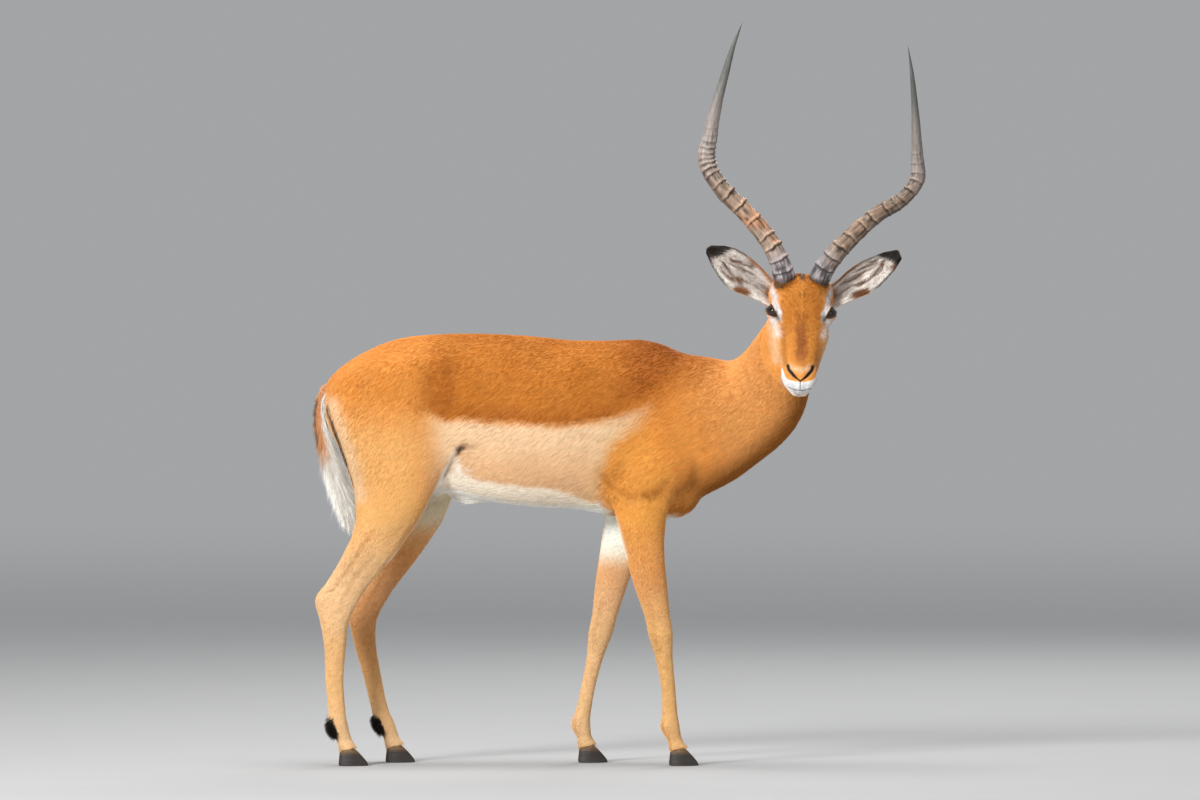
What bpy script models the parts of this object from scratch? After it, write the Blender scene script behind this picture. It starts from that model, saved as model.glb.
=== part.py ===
"""A life-size impala ram that stands side-on, with its head turned to its right.

+X runs to the ram's front, +Y to its left and +Z up, in metres. The flesh is modelled whole, from lofts
and muscle masses that a voxel remesh joins, and is then parted with thin cuts into trunk, neck, head and
legs. Horns, ears, eyes, hooves and tail are solids of their own.
"""

import math
from typing import NamedTuple

import bmesh
import bpy
from mathutils import Matrix, Vector

# Sizes of the whole flesh, and of the gaps between the pieces.
VOXEL = 0.004
FINE_ROUNDS = 8
BROAD_ROUNDS = 90
BODY_TRIANGLES = 1700
HEAD_TRIANGLES = 1250
LEG_TRIANGLES = 1350
CUT = 0.0005
SEAT_GAP = 0.0004
RING_POINTS = 28

# How the head is held: the face line leans from upright, and the head is turned and tipped a little.
POLL = Vector((0.383, -0.185, 1.022))
FACE_LEAN = math.radians(32)
HEAD_YAW = math.radians(1.6)
HEAD_ROLL = math.radians(2.2)


class TrunkSlice(NamedTuple):
    """An upright slice across the trunk."""

    x: float
    top: float
    bottom: float
    half_width: float
    widest: float
    fullness: float


class LegLevel(NamedTuple):
    """A level slice through a leg: its height, its half sizes and how far out from the midline it lies."""

    height: float
    half_depth: float
    half_width: float
    out: float


class NeckSlice(NamedTuple):
    """A slice across the neck: its centre, its half sizes and how far its crest has turned to the nape."""

    x: float
    y: float
    z: float
    half_depth: float
    half_width: float
    lean: float
    turn: float


class HeadSlice(NamedTuple):
    """A slice across the head, square to the face line."""

    along: float
    crown: float
    jaw: float
    half_width: float
    widest: float
    fullness: float


class EarShape(NamedTuple):
    """An ear's root and tip in the upright frame at the poll, and its edges' distances from their line."""

    root: Vector
    tip: Vector
    over: tuple
    under: tuple


class HornPoint(NamedTuple):
    """A point of a horn's middle line in the upright frame at the poll, and the horn's radius there."""

    out: float
    back: float
    up: float
    radius: float


TRUNK = {
    "tail_root": TrunkSlice(-0.612, 0.800, 0.715, 0.030, 0.755, 2.0),
    "seat_bone": TrunkSlice(-0.585, 0.829, 0.665, 0.068, 0.745, 2.1),
    "croup": TrunkSlice(-0.525, 0.866, 0.610, 0.096, 0.745, 2.1),
    "hips": TrunkSlice(-0.450, 0.893, 0.585, 0.105, 0.745, 2.1),
    "loin": TrunkSlice(-0.355, 0.901, 0.565, 0.106, 0.720, 2.1),
    "flank": TrunkSlice(-0.270, 0.901, 0.549, 0.118, 0.700, 2.1),
    "belly": TrunkSlice(-0.180, 0.896, 0.538, 0.128, 0.690, 2.1),
    "ribs": TrunkSlice(-0.090, 0.887, 0.533, 0.127, 0.690, 2.05),
    "girth": TrunkSlice(-0.010, 0.888, 0.518, 0.113, 0.685, 1.95),
    "withers": TrunkSlice(0.055, 0.890, 0.509, 0.100, 0.670, 1.85),
    "shoulder": TrunkSlice(0.110, 0.874, 0.512, 0.090, 0.665, 1.9),
    "breast": TrunkSlice(0.155, 0.848, 0.545, 0.074, 0.680, 1.95),
}

HIND_LEVELS = {
    "sole": LegLevel(0.006, 0.0230, 0.0195, 0.078),
    "coronet": LegLevel(0.034, 0.0225, 0.0200, 0.078),
    "pastern": LegLevel(0.054, 0.0170, 0.0172, 0.078),
    "fetlock": LegLevel(0.082, 0.0215, 0.0200, 0.078),
    "low_cannon": LegLevel(0.112, 0.0188, 0.0160, 0.078),
    "cannon": LegLevel(0.178, 0.0198, 0.0150, 0.077),
    "high_cannon": LegLevel(0.250, 0.0240, 0.0172, 0.077),
    "hock": LegLevel(0.300, 0.0310, 0.0215, 0.077),
    "hock_point": LegLevel(0.348, 0.0475, 0.0210, 0.077),
    "shin": LegLevel(0.385, 0.0480, 0.0215, 0.078),
    "gaskin": LegLevel(0.440, 0.0555, 0.0300, 0.082),
    "stifle": LegLevel(0.508, 0.0670, 0.0430, 0.081),
    "thigh": LegLevel(0.580, 0.0900, 0.0520, 0.073),
    "haunch": LegLevel(0.665, 0.1230, 0.0560, 0.068),
    "rump": LegLevel(0.740, 0.1320, 0.0540, 0.063),
    "hip_joint": LegLevel(0.810, 0.0900, 0.0440, 0.056),
}
HIND_RIGHT_X = {
    "sole": -0.550, "coronet": -0.563, "pastern": -0.573, "fetlock": -0.585, "low_cannon": -0.588,
    "cannon": -0.593, "high_cannon": -0.592, "hock": -0.593, "hock_point": -0.587, "shin": -0.561,
    "gaskin": -0.521, "stifle": -0.484, "thigh": -0.468, "haunch": -0.466, "rump": -0.478,
    "hip_joint": -0.470,
}
HIND_LEFT_X = {
    "sole": -0.453, "coronet": -0.466, "pastern": -0.476, "fetlock": -0.489, "low_cannon": -0.500,
    "cannon": -0.515, "high_cannon": -0.531, "hock": -0.535, "hock_point": -0.526, "shin": -0.500,
    "gaskin": -0.465, "stifle": -0.431, "thigh": -0.428, "haunch": -0.445, "rump": -0.470,
    "hip_joint": -0.470,
}

FORE_LEVELS = {
    "sole": LegLevel(0.006, 0.0225, 0.0190, 0.072),
    "coronet": LegLevel(0.034, 0.0220, 0.0195, 0.072),
    "pastern": LegLevel(0.053, 0.0160, 0.0168, 0.072),
    "fetlock": LegLevel(0.080, 0.0205, 0.0195, 0.072),
    "low_cannon": LegLevel(0.110, 0.0168, 0.0152, 0.072),
    "cannon": LegLevel(0.160, 0.0158, 0.0142, 0.072),
    "high_cannon": LegLevel(0.225, 0.0190, 0.0165, 0.073),
    "knee": LegLevel(0.272, 0.0262, 0.0225, 0.074),
    "over_knee": LegLevel(0.312, 0.0275, 0.0215, 0.075),
    "forearm": LegLevel(0.375, 0.0350, 0.0270, 0.079),
    "high_forearm": LegLevel(0.440, 0.0415, 0.0340, 0.083),
    "elbow": LegLevel(0.510, 0.0530, 0.0390, 0.082),
    "upper_arm": LegLevel(0.580, 0.0720, 0.0400, 0.076),
    "shoulder_point": LegLevel(0.650, 0.0760, 0.0370, 0.068),
    "shoulder_blade": LegLevel(0.740, 0.0600, 0.0300, 0.058),
    "blade_top": LegLevel(0.820, 0.0420, 0.0200, 0.040),
}
FORE_RIGHT_X = {
    "sole": 0.140, "coronet": 0.127, "pastern": 0.118, "fetlock": 0.108, "low_cannon": 0.107, "cannon": 0.104,
    "high_cannon": 0.095, "knee": 0.088, "over_knee": 0.081, "forearm": 0.067, "high_forearm": 0.055,
    "elbow": 0.047, "upper_arm": 0.052, "shoulder_point": 0.064, "shoulder_blade": 0.055,
    "blade_top": 0.040,
}
FORE_LEFT_X = {
    "sole": -0.050, "coronet": -0.063, "pastern": -0.071, "fetlock": -0.079, "low_cannon": -0.073,
    "cannon": -0.063, "high_cannon": -0.048, "knee": -0.037, "over_knee": -0.028, "forearm": -0.014,
    "high_forearm": 0.002,
    "elbow": 0.022, "upper_arm": 0.042, "shoulder_point": 0.060, "shoulder_blade": 0.055,
    "blade_top": 0.040,
}

NECK = {
    "root": NeckSlice(0.075, 0.000, 0.695, 0.165, 0.082, 0.15, 0.00),
    "base": NeckSlice(0.138, 0.000, 0.708, 0.157, 0.080, 0.30, 0.00),
    "low": NeckSlice(0.210, -0.003, 0.725, 0.136, 0.076, 0.46, 0.05),
    "middle": NeckSlice(0.279, -0.020, 0.752, 0.107, 0.071, 0.64, 0.16),
    "high": NeckSlice(0.320, -0.045, 0.797, 0.099, 0.066, 0.60, 0.34),
    "throat": NeckSlice(0.346, -0.076, 0.862, 0.095, 0.059, 0.45, 0.60),
    "nape": NeckSlice(0.373, -0.108, 0.930, 0.078, 0.056, 0.30, 0.90),
    "poll": NeckSlice(0.381, -0.136, 0.982, 0.047, 0.045, 0.20, 1.00),
}

HEAD = {
    "nape": HeadSlice(-0.030, -0.030, -0.105, 0.036, -0.062, 2.1),
    "poll": HeadSlice(0.000, -0.002, -0.118, 0.052, -0.045, 2.2),
    "forehead": HeadSlice(0.036, 0.006, -0.138, 0.058, -0.040, 2.3),
    "eyes": HeadSlice(0.072, 0.004, -0.138, 0.057, -0.038, 2.3),
    "cheek": HeadSlice(0.108, -0.003, -0.122, 0.057, -0.045, 2.2),
    "face": HeadSlice(0.148, -0.008, -0.102, 0.0540, -0.048, 2.2),
    "bridge": HeadSlice(0.188, -0.009, -0.086, 0.0445, -0.046, 2.2),
    "muzzle": HeadSlice(0.222, -0.008, -0.072, 0.0395, -0.040, 2.3),
    "nose": HeadSlice(0.244, -0.010, -0.064, 0.0385, -0.037, 2.4),
    "lips": HeadSlice(0.257, -0.018, -0.052, 0.0300, -0.034, 2.3),
}

NECK_CUT_CENTRE = (0.170, 0.0, 0.705)
NECK_CUT_NORMAL = (0.99, 0.0, 0.13)
HEAD_CUT_CENTRE = (0.050, 0.0, -0.138)
HEAD_CUT_NORMAL = (0.20, 0.0, 0.98)

EYE_RADIUS = 0.0175
EYE_CENTRE = Vector((0.068, 0.0530, -0.030))

HORN_SIDES = 9
HORN_RIDGES = 13
HORN_RIDGED = 0.66
HORN_RIDGE = 0.0014
# The horns are a little unlike each other, as on the living ram: the left one leans further out.
HORN_LINES = {
    "right": [
        HornPoint(0.033, 0.016, -0.050, 0.0240),
        HornPoint(0.037, 0.012, -0.001, 0.0245),
        HornPoint(0.059, 0.015, 0.053, 0.0210),
        HornPoint(0.094, 0.030, 0.101, 0.0205),
        HornPoint(0.135, 0.046, 0.143, 0.0197),
        HornPoint(0.179, 0.058, 0.185, 0.0190),
        HornPoint(0.206, 0.069, 0.235, 0.0192),
        HornPoint(0.200, 0.074, 0.295, 0.0165),
        HornPoint(0.190, 0.069, 0.355, 0.0126),
        HornPoint(0.176, 0.064, 0.413, 0.0096),
        HornPoint(0.162, 0.054, 0.472, 0.0062),
        HornPoint(0.143, 0.044, 0.529, 0.0008),
    ],
    "left": [
        HornPoint(0.036, 0.016, -0.045, 0.0235),
        HornPoint(0.040, 0.012, 0.008, 0.0235),
        HornPoint(0.071, 0.015, 0.056, 0.0210),
        HornPoint(0.110, 0.030, 0.098, 0.0190),
        HornPoint(0.152, 0.046, 0.136, 0.0178),
        HornPoint(0.201, 0.058, 0.167, 0.0165),
        HornPoint(0.234, 0.069, 0.211, 0.0165),
        HornPoint(0.232, 0.074, 0.268, 0.0138),
        HornPoint(0.227, 0.069, 0.325, 0.0104),
        HornPoint(0.221, 0.064, 0.382, 0.0076),
        HornPoint(0.213, 0.054, 0.439, 0.0048),
        HornPoint(0.202, 0.044, 0.496, 0.0008),
    ],
}

# Each ear: its root and tip in the upright frame, and how far its edges stand over and under its middle line.
EARS = {
    "right": EarShape(
        Vector((0.0445, 0.045, -0.0440)),
        Vector((0.1990, 0.050, 0.0515)),
        (0.0150, 0.0205, 0.0262, 0.0305, 0.0325, 0.0330, 0.0305, 0.0232, 0.0095),
        (0.0265, 0.0285, 0.0308, 0.0345, 0.0368, 0.0345, 0.0270, 0.0170, 0.0050),
    ),
    "left": EarShape(
        Vector((0.0445, 0.045, -0.0440)),
        Vector((0.2010, 0.050, 0.0600)),
        (0.0150, 0.0160, 0.0168, 0.0220, 0.0248, 0.0240, 0.0205, 0.0160, 0.0070),
        (0.0265, 0.0300, 0.0332, 0.0370, 0.0408, 0.0370, 0.0285, 0.0195, 0.0095),
    ),
}
EAR_CUP = 0.022
EAR_WALL = 0.0045

TAIL_LINE = [
    Vector((-0.588, 0.0, 0.800)),
    Vector((-0.615, 0.0, 0.776)),
    Vector((-0.624, 0.0, 0.725)),
    Vector((-0.612, 0.0, 0.665)),
    Vector((-0.594, 0.0, 0.605)),
    Vector((-0.575, 0.0, 0.548)),
    Vector((-0.560, 0.0, 0.502)),
]
TAIL_HALF_WIDTHS = [0.014, 0.017, 0.019, 0.023, 0.026, 0.021, 0.006]
TAIL_HALF_DEPTHS = [0.012, 0.013, 0.014, 0.016, 0.018, 0.015, 0.005]

HOOF_LENGTH = 0.062
HOOF_WIDTH = 0.0190
HOOF_TOP = 0.034
HOOF_TOP_SLOPE = 0.24
HOOF_WALL_SLOPE = 0.66
HOOF_CLEFT = 0.0022
HOOF_SIDES = 12
FOOT_AHEAD = 0.004

FEET = {
    "fore_left": (FORE_LEFT_X, FORE_LEVELS, 1),
    "fore_right": (FORE_RIGHT_X, FORE_LEVELS, -1),
    "hind_left": (HIND_LEFT_X, HIND_LEVELS, 1),
    "hind_right": (HIND_RIGHT_X, HIND_LEVELS, -1),
}

# Where the legs part from the trunk: the cut's middle, height at the midline, rise outwards and reach.
LEG_CUTS = ((-0.470, 0.528, 0.56, 0.17), (0.045, 0.482, 0.85, 0.125))

FLESH_PLACES = {
    "trunk": (-0.21, 0.0, 0.70),
    "neck": (0.27, -0.03, 0.74),
    "head": (0.38, -0.25, 0.90),
    "leg_fore_left": (0.0, 0.075, 0.28),
    "leg_fore_right": (0.08, -0.075, 0.28),
    "leg_hind_left": (-0.46, 0.075, 0.33),
    "leg_hind_right": (-0.51, -0.075, 0.33),
}

COLOURS = {
    "rufous_coat": (0.60, 0.25, 0.07),
    "horn": (0.30, 0.24, 0.19),
    "eye": (0.03, 0.02, 0.015),
    "hoof": (0.04, 0.035, 0.03),
    "tail_hair": (0.75, 0.62, 0.48),
    "ear_coat": (0.55, 0.38, 0.26),
}


def upright_at_poll():
    """The frame of the horns: +X to the ram's left, +Y back from the face and +Z up."""
    turned = Matrix.Rotation(HEAD_YAW, 4, "Z") @ Matrix.Rotation(HEAD_ROLL, 4, "Y")
    return Matrix.Translation(POLL) @ turned


def head_frame():
    """The frame of the head: +X down the face line to the nose, +Y to the ram's left, +Z out of the brow."""
    down_face = Vector((0, -math.sin(FACE_LEAN), -math.cos(FACE_LEAN)))
    out_of_brow = Vector((0, -math.cos(FACE_LEAN), math.sin(FACE_LEAN)))
    left = out_of_brow.cross(down_face)
    lean = Matrix((down_face, left, out_of_brow)).transposed().to_4x4()
    return upright_at_poll() @ lean


def between(a, b, c, d, t):
    """Catmull-Rom between b and c."""
    return 0.5 * (2 * b + (c - a) * t + (2 * a - 5 * b + 4 * c - d) * t * t + (3 * b - a - 3 * c + d) * t**3)


def smooth_rows(rows, steps):
    """Rows of numbers, or points, with steps - 1 smooth ones between each two."""
    rows = [tuple(row) for row in rows]
    made = []
    for k in range(len(rows) - 1):
        a, b, c, d = rows[max(k - 1, 0)], rows[k], rows[k + 1], rows[min(k + 2, len(rows) - 1)]
        for step in range(steps):
            made.append(tuple(between(*four, step / steps) for four in zip(a, b, c, d)))
    made.append(rows[-1])
    return made


def ring(centre, side, up, half_width, rise, drop, fullness=2.0, count=RING_POINTS):
    """A rounded outline about centre, half_width to each side, rise above and drop below."""
    points = []
    for k in range(count):
        c, s = math.cos(math.tau * k / count), math.sin(math.tau * k / count)
        across = math.copysign(abs(c) ** (2 / fullness), c) * half_width
        height = math.copysign(abs(s) ** (2 / fullness), s) * (rise if s > 0 else drop)
        points.append(centre + side * across + up * height)
    return points


def add_loft(bm, rings):
    """Closes a row of outlines into one solid."""
    loops = [[bm.verts.new(point) for point in points] for points in rings]
    faces = []
    for first, second in zip(loops, loops[1:]):
        for k in range(len(first)):
            after = (k + 1) % len(first)
            faces.append(bm.faces.new((first[k], first[after], second[after], second[k])))
    faces.append(bm.faces.new(loops[0][::-1]))
    faces.append(bm.faces.new(loops[-1]))
    bmesh.ops.recalc_face_normals(bm, faces=faces)


def add_mass(bm, centre, radii, frame=None, turn=0.0, axis="Y"):
    """A muscle or a bone end: an ellipsoid, turned about one axis."""
    place = Matrix.Translation(centre) @ Matrix.Rotation(turn, 4, axis) @ Matrix.Diagonal((*radii, 1))
    bmesh.ops.create_uvsphere(bm, u_segments=24, v_segments=14, radius=1, matrix=(frame or Matrix()) @ place)


def add_pair(bm, centre, radii, frame=None, turn=0.0, axis="Y"):
    """A mass on the ram's left and its mirror on the right."""
    x, y, z = centre
    mirrored = turn if axis == "Y" else -turn
    add_mass(bm, Vector((x, y, z)), radii, frame, turn, axis)
    add_mass(bm, Vector((x, -y, z)), radii, frame, mirrored, axis)


def add_trunk(bm):
    side, up = Vector((0, 1, 0)), Vector((0, 0, 1))
    rings = []
    for row in smooth_rows(TRUNK.values(), 4):
        at = TrunkSlice(*row)
        centre = Vector((at.x, 0, at.widest))
        rise, drop = at.top - at.widest, at.widest - at.bottom
        rings.append(ring(centre, side, up, at.half_width, rise, drop, at.fullness))
    add_loft(bm, rings)
    add_pair(bm, (-0.495, 0.060, 0.790), (0.105, 0.048, 0.066), turn=-0.30)
    add_pair(bm, (-0.425, 0.066, 0.812), (0.060, 0.032, 0.050))
    add_pair(bm, (-0.572, 0.048, 0.730), (0.042, 0.034, 0.075), turn=-0.25)
    add_pair(bm, (0.066, 0.062, 0.712), (0.064, 0.034, 0.130), turn=-0.30)
    add_pair(bm, (0.116, 0.058, 0.624), (0.046, 0.036, 0.058))
    add_pair(bm, (0.035, 0.082, 0.590), (0.068, 0.034, 0.050), turn=-0.45)
    add_mass(bm, Vector((0.118, 0, 0.572)), (0.058, 0.058, 0.056))
    add_mass(bm, Vector((-0.300, 0, 0.560)), (0.050, 0.014, 0.020), turn=-0.12)
    add_pair(bm, (-0.455, 0.011, 0.585), (0.026, 0.015, 0.034))


def add_leg(bm, levels, centres_x, side_sign):
    across, ahead = Vector((0, 1, 0)), Vector((1, 0, 0))
    rows = [(*level, centres_x[name]) for name, level in levels.items()]
    rings = []
    for height, half_depth, half_width, out, x in smooth_rows(rows, 4):
        centre = Vector((x, side_sign * out, height))
        rings.append(ring(centre, ahead, across, half_depth, half_width, half_width, 2.1))
    add_loft(bm, rings)


def add_neck(bm):
    nape = head_frame().to_3x3() @ Vector((-0.55, 0, -0.85)).normalized()
    rings = []
    rows = smooth_rows(NECK.values(), 5)
    for k, row in enumerate(rows):
        at = NeckSlice(*row)
        before, after = rows[max(k - 1, 0)], rows[min(k + 1, len(rows) - 1)]
        along = (Vector(after[:3]) - Vector(before[:3])).normalized()
        crest = Vector((-math.sin(at.lean), 0, math.cos(at.lean))).lerp(nape, at.turn)
        crest = (crest - along * crest.dot(along)).normalized()
        side = crest.cross(along).normalized()
        centre = Vector(row[:3])
        rings.append(ring(centre, side, crest, at.half_width, at.half_depth, at.half_depth, 1.95))
    add_loft(bm, rings)


def add_head(bm):
    frame = head_frame()
    turned = frame.to_3x3()
    side, up = turned @ Vector((0, 1, 0)), turned @ Vector((0, 0, 1))
    rings = []
    for row in smooth_rows(HEAD.values(), 4):
        at = HeadSlice(*row)
        centre = frame @ Vector((at.along, 0, at.widest))
        rise, drop = at.crown - at.widest, at.widest - at.jaw
        rings.append(ring(centre, side, up, at.half_width, rise, drop, at.fullness))
    add_loft(bm, rings)
    x, y, z = EYE_CENTRE
    add_pair(bm, (x, y - 0.006, z - 0.006), (0.030, 0.0210, 0.0222), frame)
    add_pair(bm, (x - 0.024, y - 0.008, z - 0.004), (0.024, 0.018, 0.020), frame)
    add_pair(bm, (0.068, 0.034, -0.092), (0.058, 0.020, 0.045), frame, -0.35)
    add_pair(bm, (0.000, 0.033, -0.022), (0.026, 0.022, 0.020), frame)
    add_pair(bm, (0.012, 0.046, -0.052), (0.036, 0.022, 0.030), frame)
    add_pair(bm, (0.244, 0.0200, -0.021), (0.016, 0.0150, 0.0125), frame, 0.2)
    add_pair(bm, (0.244, 0.0180, -0.042), (0.017, 0.0195, 0.0150), frame)
    add_mass(bm, Vector((0.250, 0, -0.022)), (0.014, 0.014, 0.015), frame)
    add_mass(bm, Vector((0.234, 0, -0.061)), (0.018, 0.0165, 0.0110), frame)


def mesh_object(name, bm, collection, material=None):
    mesh = bpy.data.meshes.new(name)
    bm.to_mesh(mesh)
    bm.free()
    made = bpy.data.objects.new(name, mesh)
    collection.objects.link(made)
    if material:
        mesh.materials.append(material)
    return made


def settled(obj):
    """Bakes obj's modifiers into its mesh."""
    graph = bpy.context.evaluated_depsgraph_get()
    mesh = bpy.data.meshes.new_from_object(obj.evaluated_get(graph))
    obj.modifiers.clear()
    obj.data = mesh
    return obj


def material(name):
    made = bpy.data.materials.new(name)
    made.use_nodes = True
    shader = made.node_tree.nodes["Principled BSDF"]
    shader.inputs["Base Color"].default_value = (*COLOURS[name], 1)
    shader.inputs["Roughness"].default_value = 0.12 if name == "eye" else 0.6
    return made


def whole_flesh(helpers):
    """Trunk, neck, head and legs as one smooth closed mesh of few triangles."""
    bm = bmesh.new()
    add_trunk(bm)
    add_leg(bm, HIND_LEVELS, HIND_RIGHT_X, -1)
    add_leg(bm, HIND_LEVELS, HIND_LEFT_X, 1)
    add_leg(bm, FORE_LEVELS, FORE_RIGHT_X, -1)
    add_leg(bm, FORE_LEVELS, FORE_LEFT_X, 1)
    add_neck(bm)
    add_head(bm)
    flesh = mesh_object("flesh", bm, helpers)
    joined = flesh.modifiers.new("joined", "REMESH")
    joined.mode = "VOXEL"
    joined.voxel_size = VOXEL
    settled(flesh)
    to_head = head_frame().inverted()
    broad = flesh.vertex_groups.new(name="broad")
    for vertex in flesh.data.vertices:
        above_legs = min(max((vertex.co.z - 0.46) / 0.16, 0.0), 1.0)
        behind_face = min(max((-0.114 - (to_head @ vertex.co).z) / 0.06, 0.0), 1.0)
        broad.add([vertex.index], above_legs * behind_face, "REPLACE")
    for group, rounds in (("", FINE_ROUNDS), ("broad", BROAD_ROUNDS)):
        softened = flesh.modifiers.new("softened", "SMOOTH")
        softened.factor = 0.5
        softened.iterations = rounds
        softened.vertex_group = group
    settled(flesh)
    thin(flesh, lambda at: at.z > 0.45 and not near_head(to_head @ at, 0.0), BODY_TRIANGLES)
    thin(flesh, lambda at: near_head(to_head @ at, 0.02), HEAD_TRIANGLES)
    thin(flesh, lambda at: at.z < 0.48, LEG_TRIANGLES)
    return flesh


def near_head(at, margin):
    """Whether a point of the head's frame lies on the head, or within margin of it."""
    return at.x > -0.03 - margin and abs(at.y) < 0.1 and -0.145 - margin < at.z < 0.06


def thin(flesh, within, triangles):
    """Leaves about this many triangles in the region where within holds, and all of them elsewhere."""
    inside = [within(vertex.co) for vertex in flesh.data.vertices]
    flesh.vertex_groups.clear()
    region = flesh.vertex_groups.new(name="region")
    region.add([k for k, held in enumerate(inside) if held], 1.0, "REPLACE")
    counts = [len(face.vertices) - 2 for face in flesh.data.polygons]
    held = sum(n for n, face in zip(counts, flesh.data.polygons) if all(inside[k] for k in face.vertices))
    thinned = flesh.modifiers.new("thinned", "DECIMATE")
    thinned.ratio = (sum(counts) - held + triangles) / sum(counts)
    thinned.vertex_group = "region"
    thinned.vertex_group_factor = 1.0
    settled(flesh)


def add_eye(bm, side_sign, radius):
    x, y, z = EYE_CENTRE
    place = head_frame() @ Matrix.Translation((x, side_sign * y, z))
    bmesh.ops.create_uvsphere(bm, u_segments=14, v_segments=8, radius=radius, matrix=place)


def tube_frames(points):
    """Each point of a line with its direction and two directions square to it, which don't spin."""
    side = Vector((1, 0, 0))
    frames = []
    for k, point in enumerate(points):
        along = (points[min(k + 1, len(points) - 1)] - points[max(k - 1, 0)]).normalized()
        side = (side - along * side.dot(along)).normalized()
        frames.append((point, along, side, along.cross(side)))
    return frames


def horn_rows(side):
    """A horn's line in the world with its radii: two steps for each ridge, then longer ones to the tip."""
    out = 1 if side == "left" else -1
    fine = [HornPoint(*row) for row in smooth_rows(HORN_LINES[side], 12)]
    points = [upright_at_poll() @ Vector((out * at.out, at.back, at.up)) for at in fine]
    reach = [0.0]
    for a, b in zip(points, points[1:]):
        reach.append(reach[-1] + (b - a).length)
    shares = [HORN_RIDGED * k / (2 * HORN_RIDGES) for k in range(2 * HORN_RIDGES + 1)]
    shares += [HORN_RIDGED + (1 - HORN_RIDGED) * k / 5 for k in range(1, 6)]
    rows = []
    for share in shares:
        target = share * reach[-1]
        k = max(i for i in range(len(fine) - 1) if reach[i] <= target)
        t = min((target - reach[k]) / (reach[k + 1] - reach[k]), 1.0)
        radius = fine[k].radius + (fine[k + 1].radius - fine[k].radius) * t
        rows.append((share, points[k].lerp(points[k + 1], t), radius))
    return rows


def add_horn(bm, side):
    """A lyre-shaped horn: ringed over its lower part, smooth and pointed above."""
    rows = horn_rows(side)
    frames = tube_frames([point for _, point, _ in rows])
    rings = []
    for k, ((share, point, radius), (_, _, across, ahead)) in enumerate(zip(rows, frames)):
        ridge = HORN_RIDGE * (1 - 0.3 * share / HORN_RIDGED) if share < HORN_RIDGED else 0.0
        radius += ridge if k % 2 else -ridge
        rings.append(ring(point, across, ahead, radius, radius, radius, count=HORN_SIDES))
    add_loft(bm, rings)


def add_ear(bm, side):
    """A leaf-shaped cup that opens forwards, as a sheet with its wall added afterwards."""
    side_sign = 1 if side == "left" else -1
    shape = EARS[side]
    root, tip = (Vector((side_sign * x, y, z)) for x, y, z in (shape.root, shape.tip))
    along = (tip - root).normalized()
    ahead = Vector((side_sign * 0.25, -1, 0.05))
    ahead = (ahead - along * ahead.dot(along)).normalized()
    down = along.cross(ahead) * side_sign
    last, spread = len(shape.over) - 1, 6
    widest = max(shape.over) + max(shape.under)
    rows = []
    for k, (over, under) in enumerate(zip(shape.over, shape.under)):
        share = 0.98 * k / last
        cup = EAR_CUP * (1 - 0.7 * share) * (0.3 + 0.7 * (over + under) / widest)
        row = []
        for j in range(spread + 1):
            v = 2 * j / spread - 1
            reach = (under if v > 0 else over) * v
            place = root.lerp(tip, share) + down * reach + ahead * cup * (v * v - 0.6)
            row.append(bm.verts.new(upright_at_poll() @ place))
        rows.append(row)
    for first, second in zip(rows, rows[1:]):
        for j in range(spread):
            bm.faces.new((first[j], first[j + 1], second[j + 1], second[j]))
    bmesh.ops.recalc_face_normals(bm, faces=bm.faces)
    bmesh.ops.solidify(bm, geom=bm.faces[:], thickness=EAR_WALL)
    bmesh.ops.recalc_face_normals(bm, faces=bm.faces)


def add_tail(bm):
    side = Vector((0, 1, 0))
    rows = smooth_rows([(*p, w, d) for p, w, d in zip(TAIL_LINE, TAIL_HALF_WIDTHS, TAIL_HALF_DEPTHS)], 2)
    rings = []
    for k, (x, y, z, half_width, half_depth) in enumerate(rows):
        before, after = rows[max(k - 1, 0)], rows[min(k + 1, len(rows) - 1)]
        up = side.cross((Vector(after[:3]) - Vector(before[:3])).normalized())
        rings.append(ring(Vector((x, y, z)), side, up, half_width, half_depth, half_depth, count=10))
    add_loft(bm, rings)


def hoof_top(x, centre_x):
    """The height where the leg ends and its claws begin: lower at the heel."""
    return HOOF_TOP + HOOF_TOP_SLOPE * (x - centre_x)


def add_hoof(bm, centre_x, centre_y, inner_sign):
    """One claw of a cloven foot: flat below and beside its neighbour, pointed, its wall leaning back."""
    rings = []
    for rise, size in ((0.0, 1.0), (0.2, 1.01), (1.0, 0.80)):
        points = []
        for k in range(HOOF_SIDES):
            c, s = math.cos(math.tau * k / HOOF_SIDES), math.sin(math.tau * k / HOOF_SIDES)
            length = (0.60 if c > 0 else 0.40) * HOOF_LENGTH * size
            x = centre_x + length * c - (HOOF_WALL_SLOPE if c > 0 else 0.1) * HOOF_TOP * rise * abs(c)
            half = HOOF_WIDTH / 2 * (1 - 0.1 * rise)
            taper = 1 - 0.62 * max(c, 0) ** 2.5
            outer = s * inner_sign < 0
            across = half * (s * taper if outer else max(-1, min(1, 1.5 * s)) * (1 - 0.25 * max(c, 0) ** 3))
            y = centre_y - inner_sign * (HOOF_CLEFT / 2 + HOOF_WIDTH / 2) + across
            top = hoof_top(x, centre_x) - 0.0003
            points.append(Vector((x, y, top * rise)))
        rings.append(points)
    add_loft(bm, rings)


def boolean(obj, other, operation="DIFFERENCE"):
    cut = obj.modifiers.new(operation.lower(), "BOOLEAN")
    cut.operation = operation
    cut.object = other
    cut.solver = "EXACT"


def add_plate(bm, centre, normal, half_length, half_breadth):
    """A plate CUT thick, square to normal, that parts the flesh where it crosses it."""
    turned = Vector(normal).to_track_quat("Z", "X").to_matrix().to_4x4()
    size = Matrix.Diagonal((2 * half_breadth, 2 * half_length, CUT, 1))
    bmesh.ops.create_cube(bm, size=1, matrix=Matrix.Translation(centre) @ turned @ size)


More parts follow.
